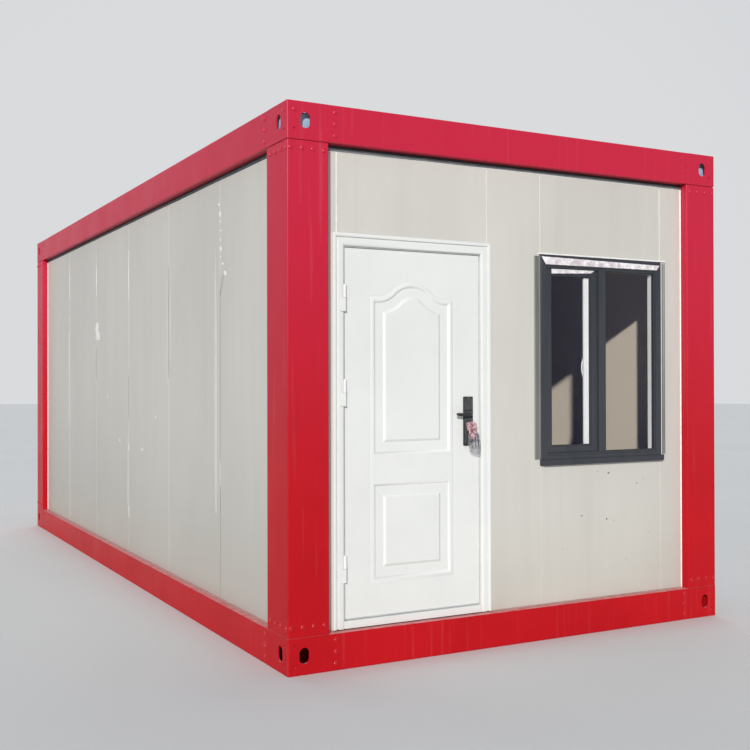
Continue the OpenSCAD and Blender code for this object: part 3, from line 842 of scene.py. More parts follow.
@dataclass
class SteelFrame:
    """Corner fittings with lifting slots, formed posts and beams, and the bolts that join them."""

    # From the cabin's outermost planes, which only bolt heads reach, to the plates
    reveal: float = 5 * MM
    seam: float = 0.3 * MM  # step from a fitting's face to a beam's, almost filled with paint
    step: float = 1 * MM  # step from a fitting's face to a post's
    lap: float = 6 * MM  # how far a beam's end goes into a fitting
    bend: float = 7 * MM  # radius of a formed edge
    plate: float = 10 * MM  # thickness of a fitting's plates
    tuck: float = 4 * MM  # how far a fitting's inner edges reach past its solid
    clear: float = 4 * MM  # how far a cutter reaches past the plate that it opens
    rim: float = 2.2 * MM  # rounding of a fitting's edges and slots
    slot_width: float = 55 * MM
    slot_length: float = 80 * MM
    slot_inset: float = 98 * MM  # from each outer edge to a slot's middle
    top_slot_inset: float = 109 * MM  # the same in a top fitting
    top_slot_drop: float = 95 * MM  # from a top fitting's top to its slots' middle
    over_end: float = 11 * MM  # how far a post's face reaches over the end wall
    over_side: float = 20 * MM  # and over the side wall
    head_gap: float = 5 * MM  # open joint between a post and its top fitting
    foot_gap: float = 0.8 * MM  # joint between a post and its bottom fitting
    joint_depth: float = 6 * MM  # of the upper joint
    foot_depth: float = 3 * MM  # of the lower joint
    bolt_radius: float = 11.5 * MM
    bolt_past: float = 47 * MM  # from a fitting's edge to the bolts in a beam
    plug_inset: float = 46 * MM  # from the cabin's edge to the plugs in a fitting
    plug_radius: float = 6.5 * MM
    top_plugs: tuple[float, ...] = (44 * MM, 142 * MM)  # from a top fitting's top to its rows of plugs
    bottom_plugs: tuple[float, ...] = (49 * MM, 149 * MM)  # from a bottom fitting's foot to its rows
    notch: float = 150 * MM  # from the outer edges to the gutter notch in a top fitting
    ribs: float = 26 * MM  # height of the roof's ribs over its flat sheet
    rain_box: float = 45 * MM  # from the end's outer edge to the rainwater box in a top fitting
    rain_box_side: float = 28 * MM  # and from the side's
    web: float = 56 * MM  # from the side edge to the web in a bottom fitting
    web_plate: float = 5 * MM  # thickness of the web
    beam_bolts: tuple[float, ...] = (38 * MM, 98 * MM, 158 * MM)
    post_bolts: tuple[float, ...] = (0.1, 0.38, 0.65, 0.92)  # shares of a post's face
    head_bolts: float = 44 * MM  # from a post's head to its upper bolts
    foot_bolts: float = 51 * MM  # from a post's foot to its lower bolts

    def build(self) -> None:
        """Makes every piece of the frame."""
        for corner in Corner:
            self.post(corner)
            self.fittings(corner)
        for side in ("front", "back", "left", "right"):
            for level in ("top", "bottom"):
                self.beam(level, side)
        self.bolts()

    @property
    def recess(self) -> float:
        """The step from the cabin's end face back to its wall."""
        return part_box("front_wall_middle")[0].y - CABIN_LOW.y

    def post(self, corner: Corner) -> None:
        """Makes a post as one formed section with rounded edges and open joints at its ends.

        Args:
            corner: Its corner.
        """
        node = f"post_{corner.label}"
        low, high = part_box(node)
        fold, skin = self.recess, self.reveal + self.step
        wide, deep = high.x - low.x + self.over_end, high.y - low.y + self.over_side
        plan = rounded(
            [(skin, skin), (wide, skin), (wide, fold), (fold, fold), (fold, deep), (skin, deep)],
            [self.bend, self.bend, 2 * MM, 3 * MM, 2 * MM, self.bend])
        foot, head = low.z + self.foot_gap, high.z - self.head_gap
        ease = 1 * MM
        shape = Shape()
        shape.stations(corner.plan(plan), Axis.Z, [
            (low.z, self.foot_depth), (foot, self.foot_depth), (foot, ease), (foot + ease, 0.0),
            (head - ease, 0.0), (head, ease), (head, self.joint_depth), (high.z, self.joint_depth)])
        publish(f"{node}_section", shape, FRAME_ENAMEL, Body.CABIN, Slot.FRAME_RED, [node])

    def beam(self, level: str, side: str) -> None:
        """Makes a beam as a box section with formed edges.

        Args:
            level: Whether it is at the top or the bottom.
            side: The side of the cabin that it lies along.
        """
        node = f"{level}_beam_{side}"
        low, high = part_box(node)
        along_x = side in ("front", "back")
        start, end = (low.x, high.x) if along_x else (low.y, high.y)
        near, far = (low.y, high.y) if along_x else (low.x, high.x)
        outer_first = side in ("front", "left")
        skin = self.reveal + self.seam
        near += skin if outer_first else 0.0
        far -= 0.0 if outer_first else skin
        inner = 3 * MM
        radii = [self.bend, inner, inner, self.bend] if outer_first else [inner, self.bend, self.bend, inner]
        shape = Shape()
        shape.prism(rounded(rectangle((near, low.z), (far, high.z)), radii),
                    Axis.X if along_x else Axis.Y, start - self.lap, end + self.lap)
        publish(f"{node}_section", shape, FRAME_ENAMEL, Body.CABIN, Slot.FRAME_RED, [node])

    def fittings(self, corner: Corner) -> None:
        """Makes a corner's two fittings, and the rainwater box in the upper one, pale blue as painted sky seen
        through the slots.

        Args:
            corner: Their corner.
        """
        node = f"corner_fittings_{corner.label}"
        low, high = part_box(node)
        bottom_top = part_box("bottom_beam_front")[1].z
        top_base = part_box("top_beam_front")[0].z
        flat_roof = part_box("roof_sheet")[1].z - self.ribs
        wide, deep = high.x - low.x, high.y - low.y
        web = self.block_between(
            corner.place(self.web, self.reveal + self.plate - 1 * MM, low.z + self.plate - 1 * MM),
            corner.place(self.web + self.web_plate, deep - self.tuck, bottom_top - self.plate + 1 * MM),
            0.5 * MM)
        notch = self.block_between(
            corner.place(self.notch, self.notch, flat_roof + 1 * MM),
            corner.place(wide + 20 * MM, deep + 20 * MM, high.z + 9 * MM), 1 * MM)
        mesh = bmesh.new()
        mesh.from_mesh(self.fitting(corner, (wide, deep), low.z, bottom_top, False))
        mesh.from_mesh(web.finished(node))
        mesh.from_mesh(self.fitting(corner, (wide, deep), top_base, high.z, True, notch))
        joined = bpy.data.meshes.new(node)
        mesh.to_mesh(joined)
        mesh.free()
        publish(f"{node}_plates", joined, FRAME_ENAMEL, Body.CABIN, Slot.FRAME_RED, [node])
        # Its pale blue paints the sky that shows through the slots
        outlet = self.block_between(
            corner.place(self.rain_box_side, self.rain_box, top_base + self.plate + 1 * MM),
            corner.place(wide, deep, flat_roof), 6 * MM)
        publish(f"rainwater_box_{corner.label}", outlet, DRAIN_LINER_PAINTED_SKY, Body.CABIN)

    def fitting(self, corner: Corner, size: Flat, base: float, head: float, upper: bool,
                *notches: Shape) -> bpy.types.Mesh:
        """Makes one fitting: a hollow plate box with slots in three faces and countersunk plugs.

        Args:
            corner: Its corner.
            size: Its width along the end and its depth along the side.
            base: Height of its underside.
            head: Height of its top.
            upper: Whether it is the top fitting.
            notches: What else is cut out of it.

        Returns:
            Its mesh.
        """
        skin, inner = self.reveal, self.reveal + self.plate
        under, over = (2 * MM, 4 * MM) if upper else (4 * MM, 1 * MM)
        wide, deep = size
        plan = rounded(
            rectangle((skin, skin), (wide + self.tuck, deep + self.tuck)), [self.bend, 0.0, 0.0, 0.0])
        block = Shape()
        block.stations(corner.plan(plan), Axis.Z, [
            (base, under), (base + 0.3 * under, 0.35 * under), (base + under, 0.0),
            (head - over, 0.0), (head - 0.3 * over, 0.35 * over), (head, over)])
        room = self.block_between(
            corner.place(inner, inner, base + self.plate),
            corner.place(wide - self.tuck, deep - self.tuck, head - self.plate), 2 * MM)
        return carved(block, [room, self.openings(corner, base, head, upper), *notches], self.rim)

    def block_between(self, first: Vector, last: Vector, radius: float) -> Shape:
        """Returns a rounded box between two opposite corners, given either way round."""
        block = Shape()
        block.box(Vector(map(min, first, last)), Vector(map(max, first, last)), radius, 1)
        return block

    def openings(self, corner: Corner, base: float, head: float, upper: bool) -> Shape:
        """Makes the cutters of one fitting's slots and plug holes.

        Args:
            corner: The fitting's corner.
            base: Height of its underside.
            head: Height of its top.
            upper: Whether it is the top fitting, whose upper row holds bolts and no plugs.

        Returns:
            The cutters as one shape.
        """
        cuts = Shape()
        past, reach = self.clear, self.reveal + self.plate + self.clear
        inset_by = self.top_slot_inset if upper else self.slot_inset
        middle = head - self.top_slot_drop if upper else base + inset_by
        size = (self.slot_width, self.slot_length)
        centre = corner.place(inset_by, inset_by, middle)
        end = sorted((corner.place(0, -past, 0).y, corner.place(0, reach, 0).y))
        cuts.prism(stadium((centre.x, centre.z), *size), Axis.Y, *end)
        side = sorted((corner.place(-past, 0, 0).x, corner.place(reach, 0, 0).x))
        cuts.prism(stadium((centre.y, centre.z), *size), Axis.X, *side)
        level = (head - reach, head + past) if upper else (base - past, base + reach)
        cuts.prism(stadium((centre.x, centre.y), *size), Axis.Z, *level)
        for height in self.plug_heights(base, head, upper)[1 if upper else 0:]:
            for on_end in (True, False):
                inward = (self.plug_inset, self.reveal) if on_end else (self.reveal, self.plug_inset)
                outward = corner.outward(on_end)
                cuts.dome(corner.place(*inward, height) - outward * 5 * MM, outward, self.plug_radius, 9 * MM)
        return cuts

    def plug_heights(self, base: float, head: float, upper: bool) -> list[float]:
        """Returns the heights of the two rows of plugs in a fitting, from its base and its head."""
        if upper:
            return [head - drop for drop in self.top_plugs]
        return [base + rise for rise in self.bottom_plugs]

    def bolts(self) -> None:
        """Makes the low round bolt heads near every corner, as one piece."""
        heads = Shape()
        top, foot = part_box("top_beam_front"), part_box("bottom_beam_front")
        beam, post = self.reveal + self.seam, self.reveal + self.step
        upper_row = self.plug_heights(top[0].z, top[1].z, True)[0]
        for corner in Corner:
            low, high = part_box(f"post_{corner.label}")
            for on_end in (True, False):
                width = (high.x - low.x) if on_end else (high.y - low.y)
                past = width + self.bolt_past
                spots = [(past, beam, top[1].z - drop) for drop in self.beam_bolts]
                spots += [(past, beam, foot[0].z + rise) for rise in self.beam_bolts]
                for share in self.post_bolts:
                    spots += [(width * share, post, high.z - self.head_bolts),
                              (width * share, post, low.z + self.foot_bolts)]
                spots.append((self.plug_inset, self.reveal, upper_row))
                for along, inward, height in spots:
                    in_plan = (along, inward) if on_end else (inward, along)
                    heads.dome(corner.place(*in_plan, height), corner.outward(on_end), self.bolt_radius,
                               inward - 0.1 * MM, sides=18)
        publish("frame_bolt_heads", heads, BOLT_ENAMEL, Body.CABIN, Slot.FRAME_RED)


# ---- walls ----

@dataclass
class Walls:
    """Sandwich panels with their foam head seals, sealant and marks of use."""

    bead: float = 5 * MM  # radius of the sealant beads along the panels' edges
    seal_wave: float = 3 * MM  # how far the foam strip's edge wanders
    seal_pitch: float = 70 * MM  # from one station of the foam strip to the next
    seal_top: float = 12 * MM  # from the top of the gap down to the foam strip

    def build(self) -> None:
        """Dresses the panels and makes what is on them."""
        dress(WALL_SKIN, *[name for name in frame["nodes"] if "_wall_" in name])
        self.head_seals()
        self.edge_beads()
        self.joint_sealant()
        self.specks()

    @cached_property
    def face(self) -> Vector:
        """The left wall's outer X, the front wall's outer Y and the walls' foot."""
        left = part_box("left_wall_panel_1")[0]
        return Vector((left.x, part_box("front_wall_middle")[0].y, left.z))

    @cached_property
    def joints(self) -> list[float]:
        """The distances from the cabin's front to the left wall's five joints."""
        return [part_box(f"left_wall_panel_{i}")[1].y - CABIN_LOW.y for i in range(1, 6)]

    def runs(self) -> list[tuple[Axis, float, float, float, int]]:
        """Returns each wall's run between its posts: axis, start, end, place of its face, outward sign."""
        face = self.face
        over = Vector((SteelFrame.over_end, SteelFrame.over_side, 0.0))
        near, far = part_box("post_front_left")[1] + over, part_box("post_back_right")[0] - over
        return [(Axis.X, near.x, far.x, face.y, -1), (Axis.X, near.x, far.x, -face.y, 1),
                (Axis.Y, near.y, far.y, face.x, -1), (Axis.Y, near.y, far.y, -face.x, 1)]

    def head_seals(self) -> None:
        """Makes the foam strips under the top beams, pressed in by hand and so a little uneven, a black strip
        over them that paints the beams' shadow, and the sealant below them.
        """
        low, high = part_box("head_seals")
        thick = self.face.y - low.y
        strips, painted_beam_shadow, beads = Shape(), Shape(), Shape()
        for axis, start, end, face, outward in self.runs():
            # Black strip at the top of the gap: painted shadow of the top beams
            painted_beam_shadow.prism([(face, high.z - 13 * MM), (face + outward * thick, high.z - 14 * MM),
                           (face + outward * thick, high.z), (face, high.z)], axis, start, end)
            count = max(2, round((end - start) / self.seal_pitch))
            rings, wiped = [], []
            for i in range(count + 1):
                along = start + (end - start) * i / count
                wave = noise.noise(Vector((along * 3.1, face, 1.7)))
                lower = low.z + self.seal_wave * (wave + 0.4)
                swell = thick * (1.0 + 0.25 * noise.noise(Vector((along * 5.3, face, 4.2))))
                front = face + outward * min(swell, thick)
                top = high.z - self.seal_top
                rings.append([axis.place(first, second, along) for first, second in (
                    (face, top), (front, top), (front, (lower + high.z) / 2 - 6 * MM),
                    (front - outward * 1 * MM, lower), (face, lower))])
                edge = lower - 4 * MM * (1.0 + 0.3 * wave)
                wiped.append([axis.place(first, second, along) for first, second in (
                    (face, lower + 1 * MM), (face + outward * 3 * MM, lower),
                    (face + outward * 1.5 * MM, edge), (face, edge))])
            strips.loft(rings)
            beads.loft(wiped)
        publish("foam_head_seals", strips, FOAM, Body.CABIN, Slot.SEAL_STRIP, ["head_seals"], sharp=60)
        publish("head_seal_painted_shadow", painted_beam_shadow, RUBBER, Body.CABIN, Slot.SEAL_STRIP)
        publish("head_seal_sealant", beads, SEALANT, Body.CABIN, sharp=60)

    def edge_beads(self) -> None:
        """Makes the thin sealant beads beside each post, and the dusty ones along each wall's foot."""
        beads, feet = Shape(), Shape()
        foot = self.face.z
        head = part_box("head_seals")[0].z
        for axis, start, end, face, outward in self.runs():
            edge = face + outward * self.bead
            section = [(face, foot), (edge, foot), (face + outward * 0.4 * self.bead, foot + 0.6 * self.bead),
                       (face, foot + self.bead)]
            feet.prism(section, axis, start, end)
            for place, turn in ((start, 1), (end, -1)):
                corner = [(place, face), (place + turn * self.bead, face), (place, edge)]
                if axis is Axis.Y:
                    corner = [(across, along) for along, across in corner]
                beads.prism(corner, Axis.Z, foot, head)
        publish("panel_edge_sealant", beads, SEALANT, Body.CABIN)
        publish("panel_foot_sealant", feet, DUSTY_SEALANT, Body.CABIN)

    def on_left(self, along: float, height: float, out: float) -> Vector:
        """Returns a point on the left wall, by its distance from the cabin's front."""
        return Vector((self.face.x - out, CABIN_LOW.y + along, height))

    def on_front(self, along: float, height: float, out: float) -> Vector:
        """Returns a point on the front wall, where marks stand out less."""
        return Vector((along, self.face.y - out * 0.4, height))

    def blob(self, shape: Shape, place: Callable[[float, float, float], Vector], along: float, height: float,
             wide: float, tall: float, seed: random.Random, thick: float = 2 * MM) -> None:
        """Adds a thin uneven smear on a wall.

        Args:
            shape: The shape that takes it.
            place: Turns a distance along the wall, a height and a stand-out into a point.
            along: Where its middle is along the wall.
            height: The height of its middle.
            wide: Its width.
            tall: Its height.
            seed: The source of its unevenness.
            thick: How far its middle stands out.
        """
        sides = 12
        edge = [0.75 + 0.5 * seed.random() for _ in range(sides)]
        rings = []
        for share, out in ((1.0, -0.1 * thick), (0.92, 0.45 * thick), (0.5, 0.85 * thick), (0.12, thick)):
            rings.append([
                place(along + wide / 2 * share * rough * a, height + tall / 2 * share * rough * b, out)
                for rough, (a, b) in zip(edge, circle(sides))])
        shape.loft(rings)

    def joint_sealant(self) -> None:
        """Makes what was gunned, wiped and cracked along the left wall's joints, and the bead over the door."""
        seed = random.Random(7)
        smears = self.joint_smears(seed)
        self.joint_haze(seed)
        self.joint_cracks()
        publish("left_wall_sealant", smears, SEALANT, Body.CABIN, sharp=70)
        self.door_side_bead()

    def joint_smears(self, seed: random.Random) -> Shape:
        """Makes the lumps and runs of sealant at the left wall's joints, and a few beside them.

        Args:
            seed: The source of their unevenness.

        Returns:
            All of them as one shape.
        """
        smears = Shape()
        for across, height, wide, tall in ((22, 2.535, 26, 20), (2, 2.475, 34, 36), (-4, 2.43, 16, 18),
                                           (-8, 2.375, 20, 16), (-6, 2.32, 14, 14), (-8, 2.268, 30, 34),
                                           (-12, 2.22, 14, 12), (-40, 2.175, 26, 18), (-80, 2.115, 44, 34)):
            self.blob(smears, self.on_left, self.joints[0] + across * MM, height, wide * MM, tall * MM, seed,
                      3 * MM)
        for number, runs in ((2, [(2.3, 380), (0.98, 90), (0.5, 110)]), (3, [(2.34, 330)]),
                             (4, [(2.4, 300), (2.05, 60), (1.9, 40)])):
            for height, length in runs:
                along = self.joints[number] + seed.uniform(-6, 6) * MM
                self.blob(smears, self.on_left, along, height, 12 * MM, length * MM, seed)
        for across, height, wide, tall in ((20, 1.93, 100, 85), (50, 1.865, 130, 80)):
            self.blob(smears, self.on_left, self.joints[3] - across * MM, height, wide * MM, tall * MM, seed,
                      3 * MM)
        for along, height in ((3.56, 1.36), (2.3, 1.23), (2.62, 0.98), (3.2, 1.02)):
            self.blob(smears, self.on_left, along, height, 18 * MM, 26 * MM, seed)
        return smears

    def joint_haze(self, seed: random.Random) -> None:
        """Makes the haze of sealant wiped along the left wall's joints.

        Args:
            seed: The source of its unevenness.
        """
        haze = Shape()
        for number, across, height, wide, tall in ((0, 0.075, 1.4, 44, 1500), (1, -0.03, 1.9, 24, 800),
                                                   (1, 0.035, 1.85, 24, 700), (2, 0.02, 0.75, 20, 620),
                                                   (4, 0.03, 1.6, 30, 900)):
            self.blob(haze, self.on_left, self.joints[number] + across, height, wide * MM, tall * MM, seed,
                      0.5 * MM)
        publish("left_wall_sealant_haze", haze, WIPED_SEALANT, Body.CABIN, sharp=80)

    def joint_cracks(self) -> None:
        """Makes the thin open stretches of the left wall's joints, and the fork above the first one."""
        cracks = Shape()
        outward = Vector((1, 0, 0))
        near, count = self.joints[0], 12
        for number, top, foot in ((0, 1.985, 1.0), (0, 0.86, 0.2), (1, 2.26, 1.5), (2, 1.52, 1.2),
                                  (3, 1.78, 1.5)):
            joint = self.joints[number]
            path = [self.on_left(joint + 3 * MM * noise.noise(Vector((joint, top + i * 0.7, 3.1))),
                                 top + (foot - top) * i / count, 0.3 * MM) for i in range(count + 1)]
            radii = [(3 * MM * (0.15 + math.sin(math.pi * i / count)), 0.7 * MM) for i in range(count + 1)]
            cracks.tube(path, radii, outward, 6)
        fork = self.on_left(near + 0.005, 1.985, 0.8 * MM)
        for across, height in ((-0.07, 2.125), (-0.02, 2.105)):
            top = self.on_left(near + across, height, 0.8 * MM)
            bend = top.lerp(fork, 0.55) + Vector((0.0, -4 * MM, 6 * MM))
            cracks.tube([top, bend, fork], [(1.8 * MM, 1.2 * MM)] * 3, outward, 6)
        publish("left_wall_joint_cracks", cracks, JOINT_DIRT, Body.CABIN, sharp=80)

    def door_side_bead(self) -> None:
        """Makes the bead along the front wall's joint above the left edge of the door frame."""
        bead = Shape()
        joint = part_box("front_wall_left")[1].x
        face = self.face.y
        bead.prism(rounded([(joint - 4 * MM, face), (joint + 4 * MM, face), (joint + 2 * MM, face - 2 * MM),
                            (joint - 2 * MM, face - 2 * MM)], [0.5 * MM] * 4, 2), Axis.Z,
                   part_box("door_frame")[1].z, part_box("head_seals")[0].z)
        publish("door_side_joint_sealant", bead, SEALANT, Body.CABIN)

    def specks(self) -> None:
        """Makes the few specks of dried grime below the window."""
        seed = random.Random(11)
        specks = Shape()
        for along, height, size in ((0.66, 0.928, 16), (0.575, 0.94, 8), (0.885, 0.857, 12), (0.94, 0.88, 7),
                                    (0.452, 0.684, 13), (0.645, 0.653, 15), (0.7, 0.642, 8), (0.31, 0.5, 7),
                                    (0.98, 0.55, 6), (0.8, 0.4, 6)):
            self.blob(specks, self.on_front, along, height, size * MM, 0.7 * size * MM, seed)
        publish("wall_grime_specks", specks, GRIME, Body.CABIN, sharp=70)


# ---- roof, ceiling and floor ----

@dataclass
class Shell:
    """The ribbed roof with its screws and flashing, the ceiling, the floor and its joists."""

    flashing: float = 30 * MM  # width of the flashing's two legs
    flashing_foot: float = 0.83  # share of the roof's height where the flashing lies
    screw_pitch: float = 330 * MM
    screw_edge: float = 100 * MM  # from the roof's side edge to the first screw
    line_pitch: float = 480 * MM  # from one row of screws to the next
    line_edge: float = 400 * MM  # from the roof's end to the first row

    def build(self) -> None:
        """Dresses the slabs and adds what fixes the roof."""
        dress(ROOF_ZINC, "roof_sheet")
        dress(CEILING_SKIN, "ceiling_panel")
        dress(FLOOR_VINYL, "floor_board")
        dress(JOIST_STEEL, "floor_joists")
        self.roof_flashing()
        self.roof_screws()

    def roof_flashing(self) -> None:
        """Makes the folded strips that close the roof sheet against the beams."""
        low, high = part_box("roof_sheet")
        sheet = low.z + (high.z - low.z) * self.flashing_foot
        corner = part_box("post_front_left")[1]
        strips = Shape()
        for turn, end in ((-1, low), (1, high)):
            for axis, edge, start in ((Axis.Y, end.x, corner.y), (Axis.X, end.y, corner.x)):
                inner = edge - turn * self.flashing
                top = sheet + self.flashing
                section = [(edge, sheet), (edge, top), (edge - turn * 1.5 * MM, top),
                           (edge - turn * 2.5 * MM, sheet + 3 * MM), (inner, sheet + 1.5 * MM), (inner, sheet)]
                strips.prism(section, axis, start, -start)
        publish("roof_flashing", strips, ROOF_ZINC, Body.CABIN, Slot.ROOF_METAL)

    def roof_screws(self) -> None:
        """Makes the washer-head screws on the roof's flat sheet, between its ribs."""
        low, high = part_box("roof_sheet")
        long, wide = high.y - low.y, high.x - low.x
        sheet = high.z - SteelFrame.ribs
        heads = Shape()
        lines = max(2, round((long - self.line_edge) / self.line_pitch))
        count = round((wide - 2 * self.screw_edge) / self.screw_pitch)
        for line in range(lines):
            y = low.y + self.line_edge + (long - 2 * self.line_edge) * line / (lines - 1)
            for i in range(count + 1):
                x = low.x + self.screw_edge + (wide - 2 * self.screw_edge) * i / count
                heads.dome(Vector((x, y, sheet)), Vector((0, 0, 1)), 8 * MM, 5 * MM, 10)
        publish("roof_screws", heads, NICKEL, Body.CABIN, Slot.ROOF_METAL)


# ---- door ----

@dataclass
class Emboss:
    """The pressed panels of the leaf: two outlines, and the section that steps inwards from each."""

    aside: float = -9 * MM  # from the leaf's middle to the panels' middle
    half_width: float = 271 * MM
    upper_base: float = 1066 * MM
    shoulder: float = 1936 * MM
    peak: float = 2023 * MM
    shoulder_start: float = 216 * MM  # from the middle to the end of the level shoulder
    arch_radius: float = 190 * MM  # of the arch at its peak
    lower_base: float = 405 * MM
    lower_top: float = 964 * MM
    steps: int = 48
    # Distance in from the outline and height over the leaf's face: the groove round both panels
    groove: tuple[Flat, ...] = (
        (0.0, 0.0), (3 * MM, -1.6 * MM), (10 * MM, -1.6 * MM), (14 * MM, 0.3 * MM))
    # The same for each panel: bead, sunk border, raised field
    section: tuple[Flat, ...] = (
        (17 * MM, 0.3 * MM), (20 * MM, 1.9 * MM), (29 * MM, 2 * MM), (33 * MM, 0.6 * MM), (41 * MM, -6.5 * MM),
        (46 * MM, -7.2 * MM), (90 * MM, -7.2 * MM), (98 * MM, -2.5 * MM), (103 * MM, 0.4 * MM))

    def arch_height(self, across: float, cut: float) -> float:
        """Gives the upper panel's top edge, an arch between two hollow curves and level shoulders.

        Args:
            across: Distance from the middle.
            cut: Distance in from the panel's outline.

        Returns:
            The height of the edge there.
        """
        across = abs(across)
        rise = self.peak - self.shoulder
        radii = (self.shoulder_start ** 2 + rise ** 2) / (2 * rise)
        hollow = radii - self.arch_radius
        if across >= self.shoulder_start:
            return self.shoulder - cut
        if across > self.shoulder_start * (self.arch_radius - cut) / radii:
            run = self.shoulder_start - across
            return self.shoulder + hollow - math.sqrt((hollow + cut) ** 2 - run ** 2)
        return self.peak - self.arch_radius + math.sqrt((self.arch_radius - cut) ** 2 - across ** 2)

    def upper(self, cut: float) -> list[Flat]:
        """Returns the upper panel's outline at a distance in from its edge."""
        return self.arched(self.upper_base, cut)

    def both(self, cut: float) -> list[Flat]:
        """Returns the outline round both panels at a distance in from its edge."""
        return self.arched(self.lower_base, cut)

    def arched(self, base: float, cut: float) -> list[Flat]:
        """Gives an outline with the arched head.

        Args:
            base: The height of its foot.
            cut: Distance in from the panel's outline.

        Returns:
            The outline's points.
        """
        wide = self.half_width - cut
        points = [(-wide, base + cut), (wide, base + cut)]
        for step in range(self.steps + 1):
            across = wide * (1 - 2 * step / self.steps)
            points.append((across, self.arch_height(across, cut)))
        return points

    def lower(self, cut: float) -> list[Flat]:
        """Returns the lower panel's outline at a distance in from its edge."""
        wide = self.half_width - cut
        return rectangle((-wide, self.lower_base + cut), (wide, self.lower_top - cut))


@dataclass
class EntranceDoor:
    """The door: mitred frame and threshold, pressed leaf, hinges, lock plates, levers and the hanging keys."""

    jamb: float = 66 * MM
    lap: float = 25 * MM
    stop: float = 16 * MM
    threshold: float = 44 * MM
    gap: float = 8 * MM
    edge: float = 2 * MM
    bedding: float = 4 * MM  # thickness of the strip that the frame stands on
    # Distance in from a jamb's outer edge and depth behind its face: rolled edge, groove, flat, eased edge
    section: tuple[Flat, ...] = (
        (0.0, 5 * MM), (1.5 * MM, 2 * MM), (5 * MM, 0.3 * MM), (10 * MM, 0.0), (15 * MM, 0.3 * MM),
        (18.5 * MM, 2 * MM), (20 * MM, 4 * MM), (20.5 * MM, 10 * MM), (29 * MM, 10 * MM), (29.5 * MM, 3.5 * MM),
        (31 * MM, 2 * MM), (52 * MM, 2 * MM), (58 * MM, 3.2 * MM), (63 * MM, 6 * MM), (66 * MM, 9.5 * MM))
    hinge_heights: tuple[float, ...] = (262 * MM, 1178 * MM, 1673 * MM)
    hinge_length: float = 140 * MM
    notch_radius: float = 10.5 * MM
    cylinder_drop: float = 72 * MM  # from the spindle down to the lock's cylinder

    def build(self) -> None:
        """Makes every piece of the door."""
        self.frame_low, self.frame_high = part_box("door_frame")
        self.leaf_low, self.leaf_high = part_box("door_leaf")
        self.door_frame()
        self.seals()
        self.leaf()
        self.hinges()
        self.lock()
        self.levers()
        self.keys()

    @property
    def hinge_axis(self) -> Vector:
        """A point on the line that the door turns about."""
        return Vector(frame["joints"][0]["pos_m"])

    @property
    def spindle(self) -> Vector:
        """A point on the line that the levers turn about."""
        return Vector(frame["joints"][1]["pos_m"])

    def door_frame(self) -> None:
        """Makes the jambs and head from one folded section, cut out at the hinges, with the threshold."""
        low, high = self.frame_low, self.frame_high
        face, back = low.y, high.y
        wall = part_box("front_wall_middle")[0].y
        lap, stop = self.lap / self.jamb, self.stop / self.jamb
        rest = self.leaf_high.y + self.gap
        profile = [(0.0, wall)] + [(across / self.jamb, face + depth) for across, depth in self.section]
        profile += [(1.0, rest), (1.0 + stop, rest), (1.0 + stop, back), (lap, back), (lap, wall)]
        shape = Shape()
        base = low.z + self.bedding
        shape.mitred(profile, (low.x, base), (high.x, high.z), [self.jamb] * 4, open_foot=True)
        axis = self.hinge_axis
        notches = Shape()
        ring = [(axis.x + self.notch_radius * a, axis.y + self.notch_radius * b) for a, b in circle(24)]
        reach = self.hinge_length / 2 + 1.5 * MM
        for height in self.hinge_heights:
            middle = self.leaf_low.z + height
            notches.prism(ring, Axis.Z, middle - reach, middle + reach)
        publish("door_frame_section", carved(shape, [notches], 0.4 * MM), DOOR_COAT, Body.CABIN,
                Slot.DOOR_WHITE, ["door_frame"])
        sill = Shape()
        sill.box((low.x + self.jamb - 1 * MM, face + 2 * MM, base),
                 (high.x - self.jamb + 1 * MM, back, low.z + self.threshold), 2.5 * MM)
        publish("door_threshold", sill, DOOR_COAT, Body.CABIN, Slot.DOOR_WHITE)
        # Bedding strip under the frame, black so that it also paints the shadow line below the threshold
        bed = Shape()
        bed.box((low.x + 2 * MM, face + 5 * MM, low.z),
                (high.x - 2 * MM, back - 2 * MM, base + 1 * MM), 1 * MM)
        publish("door_bedding_painted_shadow", bed, RUBBER, Body.CABIN)

    def seals(self) -> None:
        """Makes the bulb that the leaf closes against, the lips in the gaps beside it, the brush below it."""
        low, high = self.frame_low, self.frame_high
        rest = self.leaf_high.y + self.gap
        profile = [(0.2, rest), (0.1, rest - 3.0 * MM), (0.35, rest - 5.5 * MM), (0.75, rest - 5.5 * MM),
                   (1.0, rest - 3.0 * MM), (0.9, rest)]
        bulb = Shape()
        inner = self.jamb + 2 * MM
        bulb.mitred(profile, (low.x + inner, low.z + self.threshold), (high.x - inner, high.z - inner),
                    [11 * MM] * 4, open_foot=True)
        publish("door_gasket", bulb, PALE_SEAL, Body.CABIN, sharp=70)
        lips, brush = Shape(), Shape()
        left, right = low.x + self.jamb, high.x - self.jamb
        foot, head = low.z + self.threshold, high.z - self.jamb
        front, back = self.leaf_low.y + 1 * MM, self.leaf_low.y + 12 * MM
        lips.box((right - 5.5 * MM, front + 5 * MM, foot), (right, back + 5 * MM, head), 1.2 * MM)
        lips.box((left + 1 * MM, front - 6.5 * MM, head - 6 * MM),
                 (right - 5 * MM, back - 1.5 * MM, head - 1.5 * MM), 1.2 * MM)
        lips.box((left, front - 6.5 * MM, foot), (left + 6 * MM, back - 1.5 * MM, head - 6 * MM), 1.2 * MM)
        publish("door_gap_lips", lips, PALE_SEAL, Body.CABIN)
        brush.box((self.leaf_low.x + 4 * MM, front, self.leaf_low.z - 6.3 * MM),
                  (self.leaf_high.x - 4 * MM, back, self.leaf_low.z + 1 * MM), 1.2 * MM)
        publish("door_foot_brush", brush, PALE_SEAL, Body.DOOR)

    def leaf(self) -> None:
        """Makes the leaf with both skins pressed to the same panels."""
        low, high = self.leaf_low, self.leaf_high
        panels = Emboss()
        middle = (low.x + high.x) / 2 + panels.aside
        shape = Shape()
        outer = rectangle((low.x, low.z), (high.x, high.z))
        for face, sign in ((low.y, -1), (high.y, 1)):

